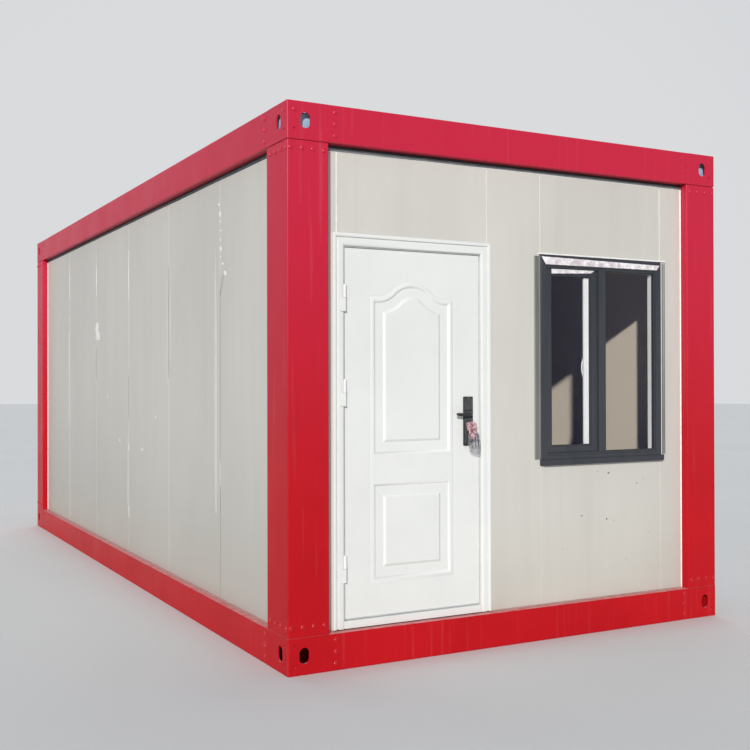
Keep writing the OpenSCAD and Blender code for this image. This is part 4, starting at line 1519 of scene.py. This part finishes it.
            def rows_of(outline: Callable[[float], list[Flat]], section: Sequence[Flat]) -> list[Row]:
                """Returns rows of new points along an outline, one for each pair of cut and height."""
                return [[shape.mesh.verts.new((middle + x, face + sign * height, z)) for x, z in outline(cut)]
                        for cut, height in section]

            def skin(edges: Sequence[Row]) -> None:
                """Closes the flat sheet between an outer row and the rows inside it."""
                loops = [[Vector((vert.co.x, vert.co.z, 0.0)) for vert in edge] for edge in edges]
                verts = [vert for edge in edges for vert in edge]
                for triangle in tessellate_polygon(loops):
                    shape.mesh.faces.new([verts[i] for i in triangle])

            rim = [shape.mesh.verts.new((x, face, z)) for x, z in inset(outer, self.edge)]
            groove = rows_of(panels.both, panels.groove)
            fields = [rows_of(outline, panels.section) for outline in (panels.upper, panels.lower)]
            skin([rim, groove[0]])
            skin([groove[-1], fields[0][0], fields[1][0]])
            for rows in (groove, *fields):
                shape.join(rows)
            for rows in fields:
                shape.mesh.faces.new(rows[-1])
        rings = [(low.y, self.edge), (low.y + self.edge, 0.0), (high.y - self.edge, 0.0), (high.y, self.edge)]
        shape.join([[shape.mesh.verts.new((x, y, z)) for x, z in inset(outer, cut)] for y, cut in rings])
        publish("door_leaf_pressed", shape, DOOR_COAT, Body.DOOR, Slot.DOOR_WHITE, ["door_leaf"], sharp=30)

    def hinges(self) -> None:
        """Dresses the hinge barrels and adds their turned end caps."""
        dress(HINGE_COAT, "frame_hinge_barrels", "leaf_hinge_barrels")
        axis = self.hinge_axis
        for name, body, side in (("lower", Body.CABIN, -1), ("upper", Body.DOOR, 1)):
            caps = Shape()
            for height in self.hinge_heights:
                end = self.leaf_low.z + height + side * self.hinge_length / 2
                caps.dome(Vector((axis.x, axis.y, end)), Vector((0, 0, side)), 8.5 * MM, 1.2 * MM)
            publish(f"hinge_caps_{name}", caps, HINGE_COAT, body, Slot.HINGE_WHITE)

    def lock(self) -> None:
        """Makes the ribbed lock plates with their cylinder, screws and edge plate, and a grey band above the
        spindle that paints a highlight.
        """
        low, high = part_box("lock_plates")
        spindle = self.spindle
        plates, bright, ridges = Shape(), Shape(), Shape()
        for face, outer, outward in ((self.leaf_low.y, low.y, -1), (self.leaf_high.y, high.y, 1)):

            def out(distance: float) -> float:
                """Returns the Y that lies a distance in millimetres outside the plate's face."""
                return outer + outward * distance * MM

            outline = rounded(rectangle((low.x, low.z), (high.x, high.z)), [5 * MM] * 4)
            plates.stations(outline, Axis.Y, [
                (face, 0.0), (out(-2.2), 0.0), (out(-0.7), 0.9 * MM), (outer, 2.6 * MM)])
            for i in range(5):
                x = low.x + (high.x - low.x) * (0.17 + 0.165 * i)
                for base, head in ((spindle.z + 22 * MM, high.z - 12 * MM),
                                   (low.z + 15 * MM, spindle.z - 24 * MM)):
                    ridge = rounded(rectangle((x - 2.6 * MM, base), (x + 2.6 * MM, head)), [2 * MM] * 4, 2)
                    ridges.stations(ridge, Axis.Y, [(out(-1), 0.0), (out(1.2), 0.0), (out(2.2), 1.4 * MM)])
            # Grey band above the spindle: a painted highlight of the lever's lit top
            painted_highlight_band = rounded(rectangle((low.x + 2 * MM, spindle.z + 6.5 * MM),
                                     (high.x - 2 * MM, spindle.z + 13 * MM)), [2 * MM] * 4, 2)
            ridges.stations(painted_highlight_band, Axis.Y, [(out(-1), 0.0), (out(3), 0.0), (out(4), 1.6 * MM)])
            cylinder = stadium((spindle.x, spindle.z - self.cylinder_drop), 17 * MM, 33 * MM)
            bright.stations(cylinder, Axis.Y, [(out(-1), 0.0), (out(3), 0.0), (out(3.8), 0.8 * MM)])
            for height in (high.z - 7 * MM, low.z + 9 * MM):
                bright.dome(Vector((spindle.x, out(-0.3), height)), Vector((0, outward, 0)), 3.6 * MM, 1.4 * MM)
        edge = self.leaf_high.x
        depth = (self.leaf_low.y + self.leaf_high.y) / 2
        bright.box((edge - 1 * MM, depth - 11 * MM, spindle.z - 150 * MM),
                   (edge + 1.2 * MM, depth + 11 * MM, spindle.z + 90 * MM), 0.5 * MM)
        bright.box((edge, depth - 7 * MM, spindle.z - 8 * MM),
                   (edge + 3.5 * MM, depth + 7 * MM, spindle.z + 12 * MM), 2 * MM)
        publish("lock_plates_eased", plates, LOCK_COAT, Body.DOOR, Slot.LOCK_BLACK, ["lock_plates"])
        publish("lock_plate_ridges", ridges, RUBBED_AND_HIGHLIGHT_COAT, Body.DOOR, Slot.LOCK_BLACK)
        publish("lock_cylinder_and_edge_plate", bright, NICKEL, Body.DOOR)

    def levers(self) -> None:
        """Makes both levers, each from its neck round a bend to a flattened grip."""
        low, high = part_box("lever_handle")
        spindle = self.spindle
        levers = Shape()
        thick, bend = 9 * MM, 14 * MM
        for foot, outward in ((self.leaf_low.y - 8 * MM, -1), (self.leaf_high.y + 8 * MM, 1)):
            out = (low.y if outward < 0 else high.y) - outward * thick
            path = [Vector((spindle.x, foot - outward * 4 * MM, spindle.z)),
                    Vector((spindle.x, out - outward * bend, spindle.z))]
            radii = [(8.5 * MM, 8.5 * MM), (8.5 * MM, 8.5 * MM)]
            for step in range(1, 6):
                angle = math.pi / 2 * step / 5
                path.append(Vector((spindle.x - bend * (1 - math.cos(angle)),
                                    out - outward * bend * (1 - math.sin(angle)), spindle.z)))
                radii.append((8.5 * MM - 0.3 * MM * step, 8.8 * MM))
            reach = spindle.x - bend - low.x
            for share, taper in ((0.3, 1.0), (0.55, 1.0), (0.8, 1.0), (0.93, 0.85), (0.985, 0.6), (1.0, 0.25)):
                sag = -2.5 * MM * math.sin(math.pi * share)
                path.append(Vector((spindle.x - bend - reach * share, out - outward * 1.5 * MM * share,
                                    spindle.z + sag)))
                radii.append((6.2 * MM * taper, 8.8 * MM * taper))
            levers.tube(path, radii, Vector((0, 0, 1)))
            levers.dome(Vector((spindle.x, foot, spindle.z)), Vector((0, outward, 0)), 14 * MM, 4 * MM, 24)
        publish("lever_pair", levers, LOCK_COAT, Body.LEVER, Slot.LOCK_BLACK, ["lever_handle"], sharp=60)

    def keys(self) -> None:
        """Makes what hangs at the lock: the key, its tags and the pouch of spare keys."""
        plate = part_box("lock_plates")[0].y
        barrel = Vector((self.spindle.x, plate - 4 * MM, self.spindle.z - self.cylinder_drop))
        self.key(barrel)
        tags = Shape()
        for i, (across, rise, wide, tall, lean) in enumerate((
                (-16, 26, 36, 44, 8), (6, 30, 34, 46, -4), (23, 22, 30, 40, -16), (-7, 2, 34, 52, 4),
                (10, -5, 34, 50, -2), (2, -18, 36, 46, 0))):
            top = barrel + Vector((across, -24 - 2.5 * i, rise)) * MM
            self.leaflet(tags, top, wide * MM, tall * MM, lean, float(i))
        publish("key_tags", tags, TAG_FILM_WITH_PAINTED_GLINTS, Body.DOOR, sharp=50)
        foot = barrel + Vector((-12, -26, -42)) * MM
        self.spare_keys(foot)
        self.pouch(foot)

    def key(self, barrel: Vector) -> None:
        """Makes the key in the cylinder, with a round bow, and its ring.

        Args:
            barrel: The middle of the cylinder's face.
        """
        metal = Shape()
        metal.box(barrel + Vector((-1.2, -14, -4)) * MM, barrel + Vector((1.2, 1, 4)) * MM, 0.5 * MM)
        bow = [(barrel.y - (22 + 11 * a) * MM, barrel.z + 12 * b * MM) for a, b in circle(20)]
        metal.prism(bow, Axis.X, barrel.x - 1.3 * MM, barrel.x + 1.3 * MM, 0.5 * MM)
        centre = barrel + Vector((6, -24, -14)) * MM
        across = Vector((0, 1, 0))
        ring = []
        for a, b in circle(24):
            spoke = Vector((a, 0.25 * b, b))
            middle = centre + spoke * 12 * MM
            ring.append([middle + spoke * 1.1 * MM * c + across * 1.1 * MM * d for c, d in circle(8)])
        metal.loft(ring, looped=True)
        publish("key_and_ring", metal, NICKEL, Body.DOOR)

    def spare_keys(self, foot: Vector) -> None:
        """Makes the three spare keys that hang side by side in the pouch.

        Args:
            foot: The point that the pouch hangs from.
        """
        # A key's outline from its bow down to its tip and up its cuts, in mm across and up
        key = [(-4, 0), (-8, -6), (-8, -18), (-4, -24), (-4, -62), (0, -66), (4, -60), (2.5, -54), (4, -48),
               (2.5, -42), (4, -36), (4, -24), (8, -18), (8, -6), (4, 0)]
        narrow = 0.65
        keys = Shape()
        for across, drop, lean in ((12, 8, 3), (33, 4, 5), (51, 2, 7)):
            turn = Matrix.Rotation(math.radians(-lean), 3, "Y")
            outline = []
            for a, b in key:
                point = turn @ Vector(((across + narrow * a) * MM, 0, (b - drop) * MM))
                outline.append((foot.x + point.x, foot.z + point.z))
            keys.prism(outline, Axis.Y, foot.y - 1.2 * MM, foot.y + 1.2 * MM)
        publish("spare_keys", keys, LOCK_COAT, Body.DOOR)

    def leaflet(self, shape: Shape, top: Vector, wide: float, tall: float, lean: float, seed: float) -> None:
        """Adds one crumpled leaf of film.

        Args:
            shape: The shape that takes it.
            top: The middle of its top edge.
            wide: Its width.
            tall: Its height.
            lean: Degrees that its foot swings to the right.
            seed: Picks its creases.
        """
        turn = Matrix.Rotation(math.radians(-lean), 3, "Y")
        columns, rows = 14, 18
        rings = []
        for i in range(columns + 1):
            across = (i / columns - 0.5) * wide
            front = []
            for k in range(rows + 1):
                drop = k / rows * tall
                crease = noise.noise(Vector((across / (11 * MM), drop / (14 * MM), seed * 3.7)))
                fold = noise.noise(Vector((across / (5 * MM), drop / (6 * MM), seed * 3.7 + 5)))
                belly = 1.0 - 0.35 * abs(k / rows - 0.45)
                out = -(6 * crease + 2.5 * fold) * MM
                front.append(top + turn @ Vector((
                    across * (belly + 0.3 * crease), out, -drop * (1 + 0.1 * fold))))
            rings.append(front + [point + Vector((0, 0.8 * MM, 0)) for point in reversed(front)])
        shape.loft(rings)

    def pouch(self, foot: Vector) -> None:
        """Makes the clear pouch, cut off at its lower left corner.

        Args:
            foot: The point that it hangs from.
        """
        shape = Shape()
        rows = []
        # Drop below the point, the middle and half the width there, and half the thickness, all in mm
        sections = ((-14, 27, 30, 2), (0, 27, 36, 5), (20, 29, 38, 8), (44, 31, 39, 9), (66, 34, 39, 8.5),
                    (86, 36, 38, 7), (96, 40, 33, 6), (104, 47, 24, 4.5), (109, 52, 13, 3), (111, 54, 5, 1.5))
        for drop, middle, half, puff in sections:
            row = []
            for a, b in circle(40):
                crease = 1 + 0.3 * noise.noise(Vector((5.0 * a, 5.0 * b, drop / 16)))
                row.append(foot + Vector((
                    middle + half * a * (0.75 + 0.25 * crease), puff * b * crease, -drop)) * MM)
            rows.append(row)
        shape.loft(rows)
        publish("clear_key_pouch", shape, POUCH_FILM, Body.DOOR, sharp=80)


# ---- window ----

@dataclass
class WindowUnit:
    """The window: frame and sash dark outside and white inside, panes, cover film, latch, sill and trims."""

    jamb_left: float = 45 * MM
    head: float = 72 * MM
    rail: float = 71 * MM
    sash_face: float = 43 * MM
    meeting_stile: float = 60 * MM
    fixed_light: float = 387 * MM  # width of the fixed light's opening
    bite: float = 8 * MM  # how far a pane goes into its member
    fin: float = 32 * MM  # how far the sash's white inner fin shows beside its meeting stile
    film: float = 1.2 * MM  # how far the cover film lifts off
    nose: tuple[Flat, ...] = ((2, 0), (-8, 0), (-9, 3), (-9, 31), (-7, 34), (2, 36))  # of the sill, in mm

    def build(self) -> None:
        """Makes every piece of the window."""
        self.low, self.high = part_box("window_frame")
        self.sash_low, self.sash_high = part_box("window_sash")
        self.glass_low, self.glass_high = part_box("window_glass")
        self.fixed_right = self.glass_high.x - self.bite
        self.fixed_left = self.fixed_right - self.fixed_light
        self.outer_ring()
        self.sash_ring()
        dress(PANE_WITH_PAINTED_SKY, "window_glass")
        self.cover_film()
        self.latch()
        self.surround()

    def ring_halves(self, low: Flat, high: Flat, faces: Sequence[float], front: float, split: float,
                    back: float, inner: Sequence[Flat]) -> tuple[Shape, Shape]:
        """Makes a mitred ring in two halves.

        Args:
            low: The ring's outer left foot, as X and Z.
            high: Its outer right head.
            faces: Face widths of its left, right, bottom and top members.
            front: The Y of its outer face.
            split: The Y where the dark half meets the white half.
            back: The Y of its inner face.
            inner: The white half's section from its glass side to its back.

        Returns:
            The dark half and the white half.
        """
        dark, white = Shape(), Shape()
        outer = [(0.04, front), (0.79, front), (0.80, front + 0.3 * MM), (0.82, front + 5 * MM),
                 (0.98, front + 5.4 * MM), (1.0, front + 7 * MM)]
        dark.mitred([(0.0, split), (0.0, front + 2 * MM), *outer, (1.0, split)], low, high, faces)
        white.mitred([(0.0, split), (1.0, split), *inner, (0.06, back), (0.0, back - 2 * MM)], low, high, faces)
        return dark, white

    def outer_ring(self) -> None:
        """Makes the fixed frame with its mullion and its sill nose."""
        low, high = self.low, self.high
        faces = [self.jamb_left, high.x - self.fixed_right, self.rail, self.head]
        split = self.glass_low.y
        step = split + 34 * MM
        dark, white = self.ring_halves((low.x, low.z), (high.x, high.z), faces, low.y, split, high.y,
                                       [(1.0, step), (0.5, high.y - 1 * MM), (0.45, high.y)])
        foot, top = low.z + self.rail - 3 * MM, high.z - self.head + 3 * MM
        left, right = self.sash_high.x - 2 * MM, self.fixed_left
        mullion = rounded(rectangle((left, low.y), (right, split)), [1 * MM, 5 * MM, 1 * MM, 1 * MM])
        dark.prism(mullion, Axis.Z, foot, top)
        mullion = rounded(rectangle((left, split), (right, high.y)), [1 * MM, 1 * MM, 3 * MM, 3 * MM])
        white.prism(mullion, Axis.Z, foot, top)
        dark.loft([[Vector((x, low.y + depth * MM, low.z + (max(rise, lift) + 0.01 * depth) * MM))
                    for depth, rise in self.nose]
                   for x, lift in ((low.x - 4 * MM, 15), (low.x + 14 * MM, 0), (high.x + 6 * MM, 0),
                                   (high.x + 12 * MM, 5))])
        publish("window_frame_foil_side", dark, WINDOW_FOIL, Body.CABIN, Slot.WINDOW_GREY, ["window_frame"])
        publish("window_frame_white_side", white, WHITE_PROFILE, Body.CABIN)

    def sash_ring(self) -> None:
        """Makes the sash in the left-hand light."""
        low, high = self.sash_low, self.sash_high
        faces = [self.sash_face, self.meeting_stile, self.sash_face, self.sash_face]
        back = self.glass_high.y
        dark, white = self.ring_halves(
            (low.x, low.z), (high.x, high.z), faces, low.y, self.glass_low.y, high.y,
            [(1.0, back + 3 * MM), (0.55, back + 4 * MM), (0.5, high.y - 1 * MM), (0.45, high.y)])
        white.box((high.x - self.meeting_stile - self.fin, back + 2 * MM, low.z + 6 * MM),
                  (high.x - 6 * MM, back + 12 * MM, high.z - 2 * MM), 1 * MM)
        publish("window_sash_foil_side", dark, WINDOW_FOIL, Body.CABIN, Slot.WINDOW_GREY, ["window_sash"])
        publish("window_sash_white_side", white, WHITE_PROFILE, Body.CABIN)
        seals = Shape()
        pane, tuck = self.glass_low.y, 1 * MM
        lip = [(0.0, pane), (0.3, pane - 2.2 * MM), (1.0, pane - 0.4 * MM), (1.0, pane)]
        for left, right, foot, top in (
                (low.x + self.sash_face, high.x - self.meeting_stile, low.z + self.sash_face,
                 high.z - self.sash_face),
                (self.fixed_left, self.fixed_right, self.low.z + self.rail, self.high.z - self.head)):
            seals.mitred(lip, (left - tuck, foot - tuck), (right + tuck, top + tuck), [4 * MM] * 4)
        publish("window_pane_seals", seals, RUBBER, Body.CABIN)

    def strip_of_film(self, film: Shape, left: tuple[Flat, Flat], right: tuple[Flat, Flat], face: float,
                      seed: float) -> None:
        """Adds one crinkled strip of film.

        Args:
            film: The shape that takes it.
            left: X and Z of its left end's foot, and of its left end's top.
            right: X and Z of its right end's foot, and of its right end's top.
            face: The Y of the face that it clings to.
            seed: Picks its creases.
        """
        columns, rows = 90, 5
        front = []
        for i in range(columns + 1):
            share = i / columns
            column = []
            for k in range(rows + 1):
                rise = k / rows
                start = Vector(left[0]).lerp(Vector(left[1]), rise)
                x, z = start.lerp(Vector(right[0]).lerp(Vector(right[1]), rise), share)
                crease = noise.noise(Vector((x * 55, rise * 2.2, seed))) + 0.5 * noise.noise(
                    Vector((x * 140, rise * 5, seed + 3)))
                edge = 1.2 * MM * noise.noise(Vector((x * 30, rise, seed + 9))) if k in (0, rows) else 0.0
                out = self.film * (1.1 + 0.9 * crease)
                column.append(Vector((x, face - max(out, 0.2 * MM), z + edge)))
            front.append(column + [Vector((column[-1].x, face + 0.3 * MM, column[-1].z)),
                                   Vector((column[0].x, face + 0.3 * MM, column[0].z))])
        film.loft(front)

    def cover_film(self) -> None:
        """Makes the strips of cover film left on the frame's head and the sash's top rail."""
        film = Shape()
        low, high = self.low, self.high
        left = ((low.x + 32 * MM, high.z - 53 * MM), (low.x + 2 * MM, high.z - 9 * MM))
        right = ((high.x - 37 * MM, high.z - 49 * MM), (high.x - 15 * MM, high.z - 20 * MM))
        self.strip_of_film(film, left, right, low.y, 1.0)
        start, end, top = self.sash_low.x + 40 * MM, self.sash_high.x, self.sash_high.z
        left = ((start, top - 31 * MM), (start, top - 4 * MM))
        right = ((end - 52 * MM, top - 18 * MM), (end - 22 * MM, top - 1 * MM))
        self.strip_of_film(film, left, right, self.sash_low.y, 5.0)
        publish("window_cover_film", film, COVER_FILM, Body.CABIN, sharp=80)

    def latch(self) -> None:
        """Makes the white crescent latch on the room side of the sash's meeting stile."""
        x = self.sash_high.x - self.meeting_stile - 8 * MM
        z = self.sash_low.z + 0.5 * (self.sash_high.z - self.sash_low.z) - 40 * MM
        depth = self.glass_high.y + 14 * MM
        shape = Shape()
        shape.box((x - 9 * MM, depth, z - 55 * MM), (x + 2 * MM, depth + 26 * MM, z + 55 * MM), 3 * MM)
        bow = []
        for step in range(11):
            angle = math.radians(-70 + 14 * step)
            bow.append(Vector((x - 6 * MM - 14 * MM * math.cos(angle), depth + 12 * MM,
                               z + 46 * MM * math.sin(angle))))
        shape.tube(bow, [(4 * MM, 5 * MM)] * len(bow), Vector((0, 1, 0)), 10)
        publish("window_latch", shape, WHITE_PROFILE, Body.CABIN, sharp=60)

    def surround(self) -> None:
        """Makes the strips beside the frame, the sealant over its head, and a black strip under that sealant
        which paints the shadow line below it.
        """
        low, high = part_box("window_trims")
        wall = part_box("front_wall_middle")[0].y
        strips = Shape()
        width = self.low.x - low.x
        for outer, mirror in ((low.x, 1), (self.high.x + width, -1)):
            section = [(outer, wall), (outer, wall - 3 * MM), (outer + mirror * 3 * MM, low.y),
                       (outer + mirror * 0.3 * width, low.y), (outer + mirror * 0.36 * width, low.y + 3 * MM),
                       (outer + mirror * 0.8 * width, low.y + 3 * MM), (outer + mirror * 0.86 * width, low.y),
                       (outer + mirror * width, low.y), (outer + mirror * width, wall)]
            strips.prism(section, Axis.Z, low.z + 38 * MM, high.z - 6 * MM, 0.5 * MM)
        publish("window_side_strips", strips, TRIM_METAL, Body.CABIN, Slot.TRIM_GREY, ["window_trims"])
        bead, gap = Shape(), Shape()
        top, front = self.high.z, self.low.y
        # Black strip over the frame's head: a painted shadow line under the bead
        gap.prism([(wall, top - 1 * MM), (wall, top + 5 * MM), (front + 3 * MM, top + 4 * MM),
                   (front + 3 * MM, top - 1 * MM)], Axis.X, self.low.x + 1 * MM, self.high.x - 1 * MM)
        bead.prism(rounded([(wall, top + 4 * MM), (wall, top + 15 * MM), (wall - 8 * MM, top + 13 * MM),
                            (wall - 11 * MM, top + 9 * MM), (wall - 11 * MM, top + 4 * MM)],
                           [0.5 * MM] * 5, 2), Axis.X, self.low.x - 10 * MM, high.x)
        bead.prism(rounded([(self.high.x - 1 * MM, wall), (self.high.x - 1 * MM, front + 1 * MM),
                            (self.high.x + 4 * MM, front + 1 * MM), (self.high.x + 6 * MM, wall)],
                           [0.5 * MM] * 4, 2), Axis.Z, low.z + 30 * MM, top)
        publish("window_head_painted_shadow", gap, RUBBER, Body.CABIN)
        publish("window_sealant", bead, SEALANT, Body.CABIN)


# ---- studio ----

@dataclass
class Studio:
    """The pale floor, the soft light and the camera."""

    eye: tuple[float, float, float] = (-3.6641, -7.6497, 1.4855)
    turn: float = 26.718  # degrees to the right of straight ahead
    tilt: float = 0.299  # degrees up
    roll: float = -0.107  # degrees
    lens: float = 49.048  # mm, as the sensor's width
    sensor: float = 36.0
    shift: float = 0.08  # of the view sideways, as a share of its width
    key_turn: float = 38.0  # degrees that the key light stands to the left of the door end
    key_height: float = 21.0  # degrees above the floor
    key_power: float = 3.0
    key_span: float = 1.6  # degrees that it spans as seen from the cabin
    key_colour: str = "#FFFDF9"
    fill_turn: float = 205.0  # the same four of the soft lamp behind the cabin
    fill_height: float = 40.0
    fill_power: float = 0.7
    fill_span: float = 80.0
    floor_radius: float = 60.0
    floor_edge: float = 0.1  # how far the floor's edge is eased inwards
    floor_thick: float = 0.02
    room: str = "#8E95A0"
    backdrop: str = "#D9DBDD"
    backdrop_turn: float = 27.0  # degrees that the backdrop's middle stands to the right of straight ahead

    def build(self) -> None:
        """Makes the studio."""
        scene = bpy.context.scene
        scene.view_settings.view_transform = "Standard"
        self.camera(scene)
        self.floor()
        self.world(scene)
        self.lamp("key_light", self.key_turn, self.key_height, self.key_power, self.key_span, self.key_colour)
        self.lamp("fill_light", self.fill_turn, self.fill_height, self.fill_power, self.fill_span, "#FFFFFF")

    def camera(self, scene: bpy.types.Scene) -> None:
        """Sets up the camera.

        Args:
            scene: The scene that it looks at.
        """
        data = bpy.data.cameras.new("camera")
        data.sensor_width = self.sensor
        data.lens = self.lens
        data.shift_x = self.shift
        camera = bpy.data.objects.new("camera", data)
        scene.collection.objects.link(camera)
        camera.matrix_world = (
            Matrix.Translation(self.eye) @ Matrix.Rotation(math.radians(-self.turn), 4, "Z")
            @ Matrix.Rotation(math.radians(90 + self.tilt), 4, "X")
            @ Matrix.Rotation(math.radians(self.roll), 4, "Z"))
        scene.camera = camera

    def floor(self) -> None:
        """Makes the round pale floor, eased at its rim."""
        shape = Shape()
        shape.loft([[Vector((radius * a, radius * b, CABIN_LOW.z - drop)) for a, b in circle(64)]
                    for radius, drop in ((self.floor_radius, self.floor_thick),
                                         (self.floor_radius - self.floor_edge, 0.0))])
        mesh = shape.finished("studio_floor")
        mesh.materials.append(PAPER.material())
        floor = bpy.data.objects.new("studio_floor", mesh)
        bpy.context.scene.collection.objects.link(floor)

    def world(self, scene: bpy.types.Scene) -> None:
        """Makes the pale surroundings, brightest at the backdrop behind the cabin.

        Args:
            scene: The scene that they stand round.
        """
        world = bpy.data.worlds.new("studio_surroundings")
        scene.world = world
        world.use_nodes = True
        tree = world.node_tree
        place = add_node(tree, "TexCoord").outputs["Generated"]
        side = math.radians(self.backdrop_turn)
        aim = add_node(tree, "VectorMath", {"operation": "DOT_PRODUCT"}, {
            0: place, 1: (math.sin(side), math.cos(side), 0.0)})
        behind = add_node(tree, "MapRange", SMOOTH, {
            "Value": aim.outputs["Value"], "From Min": 0.55, "From Max": 0.93})
        tone = add_node(tree, "Mix", COLOURS, {
            FACTOR: behind.outputs["Result"], FIRST: linear(self.room), SECOND: linear(self.backdrop)})
        background = tree.nodes["Background"]
        tree.links.new(tone.outputs[MIXED], background.inputs["Color"])
        background.inputs["Strength"].default_value = 1.0

    def lamp(self, name: str, turn: float, height: float, power: float, span: float, colour: str) -> None:
        """Adds a distant lamp.

        Args:
            name: Its name.
            turn: Degrees that it stands to the left of the door end's front.
            height: Degrees above the floor.
            power: Its strength.
            span: Degrees that it spans as seen from the cabin, which softens its shadows.
            colour: Its colour.
        """
        data = bpy.data.lights.new(name, "SUN")
        data.energy = power
        data.color = linear(colour)[:3]
        data.angle = math.radians(span)
        lamp = bpy.data.objects.new(name, data)
        bpy.context.scene.collection.objects.link(lamp)
        side, rise = math.radians(turn), math.radians(height)
        towards = Vector((-math.sin(side) * math.cos(rise), -math.cos(side) * math.cos(rise), math.sin(rise)))
        lamp.rotation_euler = towards.to_track_quat("Z", "Y").to_euler()


def main() -> None:
    """Builds the studio and the cabin piece by piece."""
    logging.basicConfig(level=logging.INFO, format="%(name)s: %(message)s")
    for part in (Studio(), SteelFrame(), Walls(), Shell(), EntranceDoor(), WindowUnit()):
        LOG.info("building %s", type(part).__name__)
        part.build()


if __name__ == "__main__":
    main()
